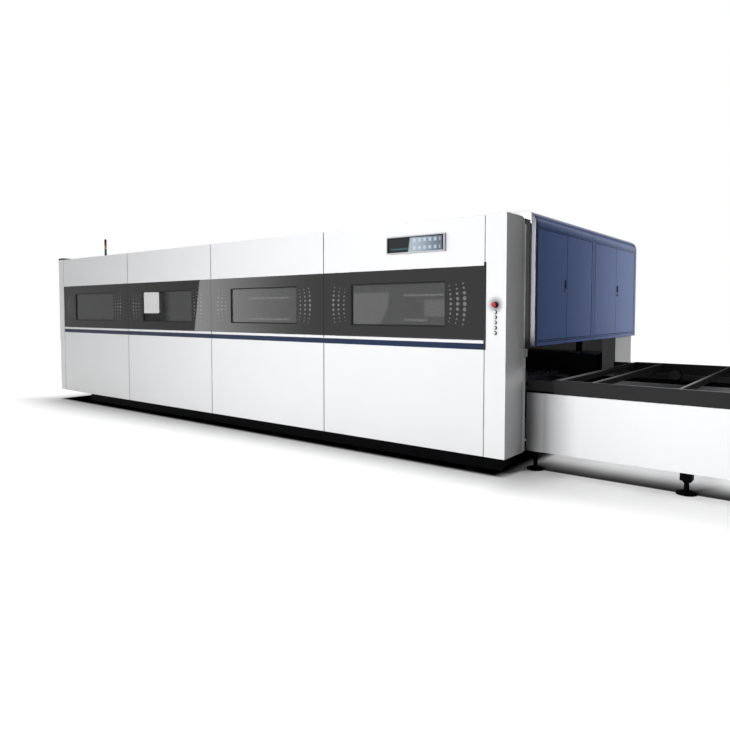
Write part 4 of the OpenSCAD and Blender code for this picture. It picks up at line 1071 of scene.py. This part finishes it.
    def add_reflections(self, stage):
        """What the window band and the panes mirror: a large card and the lines of a lit room."""
        half = 0.006
        line, field = stage.line_level, stage.field_level
        self.add_card(stage, "band_card", stage.card_level, 1.0, BAND_CARD, 6.0)
        for i, (left, right, z) in enumerate(ROOM_LINES):
            corners = ((left, z - half), (right, z - half), (right, z + half), (left, z + half))
            self.add_card(stage, f"room_line_{i}", line, line, corners, 5.8)
        for i, corners in enumerate(ROOM_FIELDS):
            self.add_card(stage, f"room_field_{i}", field, field, corners, 5.9)

    def add_flag(self, name, low, high):
        """A black upright flag between two corners in the front frame that shades what lies behind it."""
        edges = ((low[:2], low[2]), (high[:2], low[2]), (high[:2], high[2]), (low[:2], high[2]))
        places = [(COLUMN[1].x + x, FRONT_Y + y, z) for (x, y), z in edges]
        look = Finish(name, roughness=1.0, specular_ior_level=0.0)
        look.feed(base_color=look.mix(look.noise(300.0), (0.002, 0.002, 0.002, 1), (0.004, 0.004, 0.004, 1)))
        self.add_sheet(name, places, look, ("camera", "glossy", "transmission"))

    def add_camera(self, context, stage):
        lens = bpy.data.cameras.new("eye")
        lens.lens = stage.lens
        lens.sensor_width = 36.0
        lens.shift_y = -stage.drop
        lens.clip_end = 200.0
        eye = add_object("eye", lens)
        level = math.cos(stage.dip)
        side, forward = -math.sin(stage.heading) * level, math.cos(stage.heading) * level
        ahead = Vector((side, forward, -math.sin(stage.dip)))
        eye.location = stage.eye
        eye.rotation_euler = ahead.to_track_quat("-Z", "Y").to_euler()
        context.scene.camera = eye

    def execute(self, context):
        stage = context.scene.cutter_stage
        context.scene.view_settings.view_transform = "Standard"
        self.add_world(context, stage)
        self.add_floor(stage)
        self.add_box("key", (-1.9, -6.5, 2.8), (0.9, 0, 0.9), (1.6, 1.6), stage.key_power, 130)
        self.add_box("side", (2.6, 4.0, 1.7), (0.05, 2.6, 1.5), (1.0, 1.0), stage.side_power, 150)
        self.add_box("edge", (0.30, 0.16, 1.6), (0.02, 0.458, 1.6), (0.03, 1.0), stage.edge_power, 30)
        self.add_box("table", (-0.3, -3.5, 0.6), (1.9, 0.367, 0.4), (0.6, 0.6), stage.table_power, 60)
        self.add_box("work", (-0.3, 1.4, 0.93), (-0.5, 3.4, 0.93), (0.1, 0.1), stage.work_power, 100)
        self.add_reflections(stage)
        self.add_flag("table_flag", (0.01, -0.55, 0.3), (0.01, -0.02, 1.0))
        self.add_flag("column_flag", (0.06, 0.44, 0.9), (0.4, 0.44, 2.3))
        self.add_camera(context, stage)
        return {"FINISHED"}


OPERATORS = (
    CUTTER_OT_paint,
    CUTTER_OT_dots,
    CUTTER_OT_gaskets,
    CUTTER_OT_strips,
    CUTTER_OT_guard,
    CUTTER_OT_screws,
    CUTTER_OT_rack_teeth,
    CUTTER_OT_locks,
    CUTTER_OT_stage,
)


class CUTTER_PT_panel(bpy.types.Panel):
    """Lists the steps that dress the machine"""

    bl_idname = "CUTTER_PT_panel"
    bl_label = "Sheet cutter"
    bl_space_type = "VIEW_3D"
    bl_region_type = "UI"
    bl_category = "Cutter"

    def draw(self, context):
        for operator in OPERATORS:
            self.layout.operator(operator.bl_idname)


GROUPS = {"cutter_sizes": CutterSizes, "cutter_colours": CutterColours, "cutter_stage": CutterStage}


def register():
    for made in (*GROUPS.values(), *OPERATORS, CUTTER_PT_panel):
        bpy.utils.register_class(made)
    for name, group in GROUPS.items():
        setattr(bpy.types.Scene, name, bpy.props.PointerProperty(type=group))


def unregister():
    for name in GROUPS:
        delattr(bpy.types.Scene, name)
    for made in reversed((*GROUPS.values(), *OPERATORS, CUTTER_PT_panel)):
        bpy.utils.unregister_class(made)


def main():
    register()
    for operator in OPERATORS:
        group, name = operator.bl_idname.split(".")
        getattr(getattr(bpy.ops, group), name)()


if __name__ == "__main__":
    main()
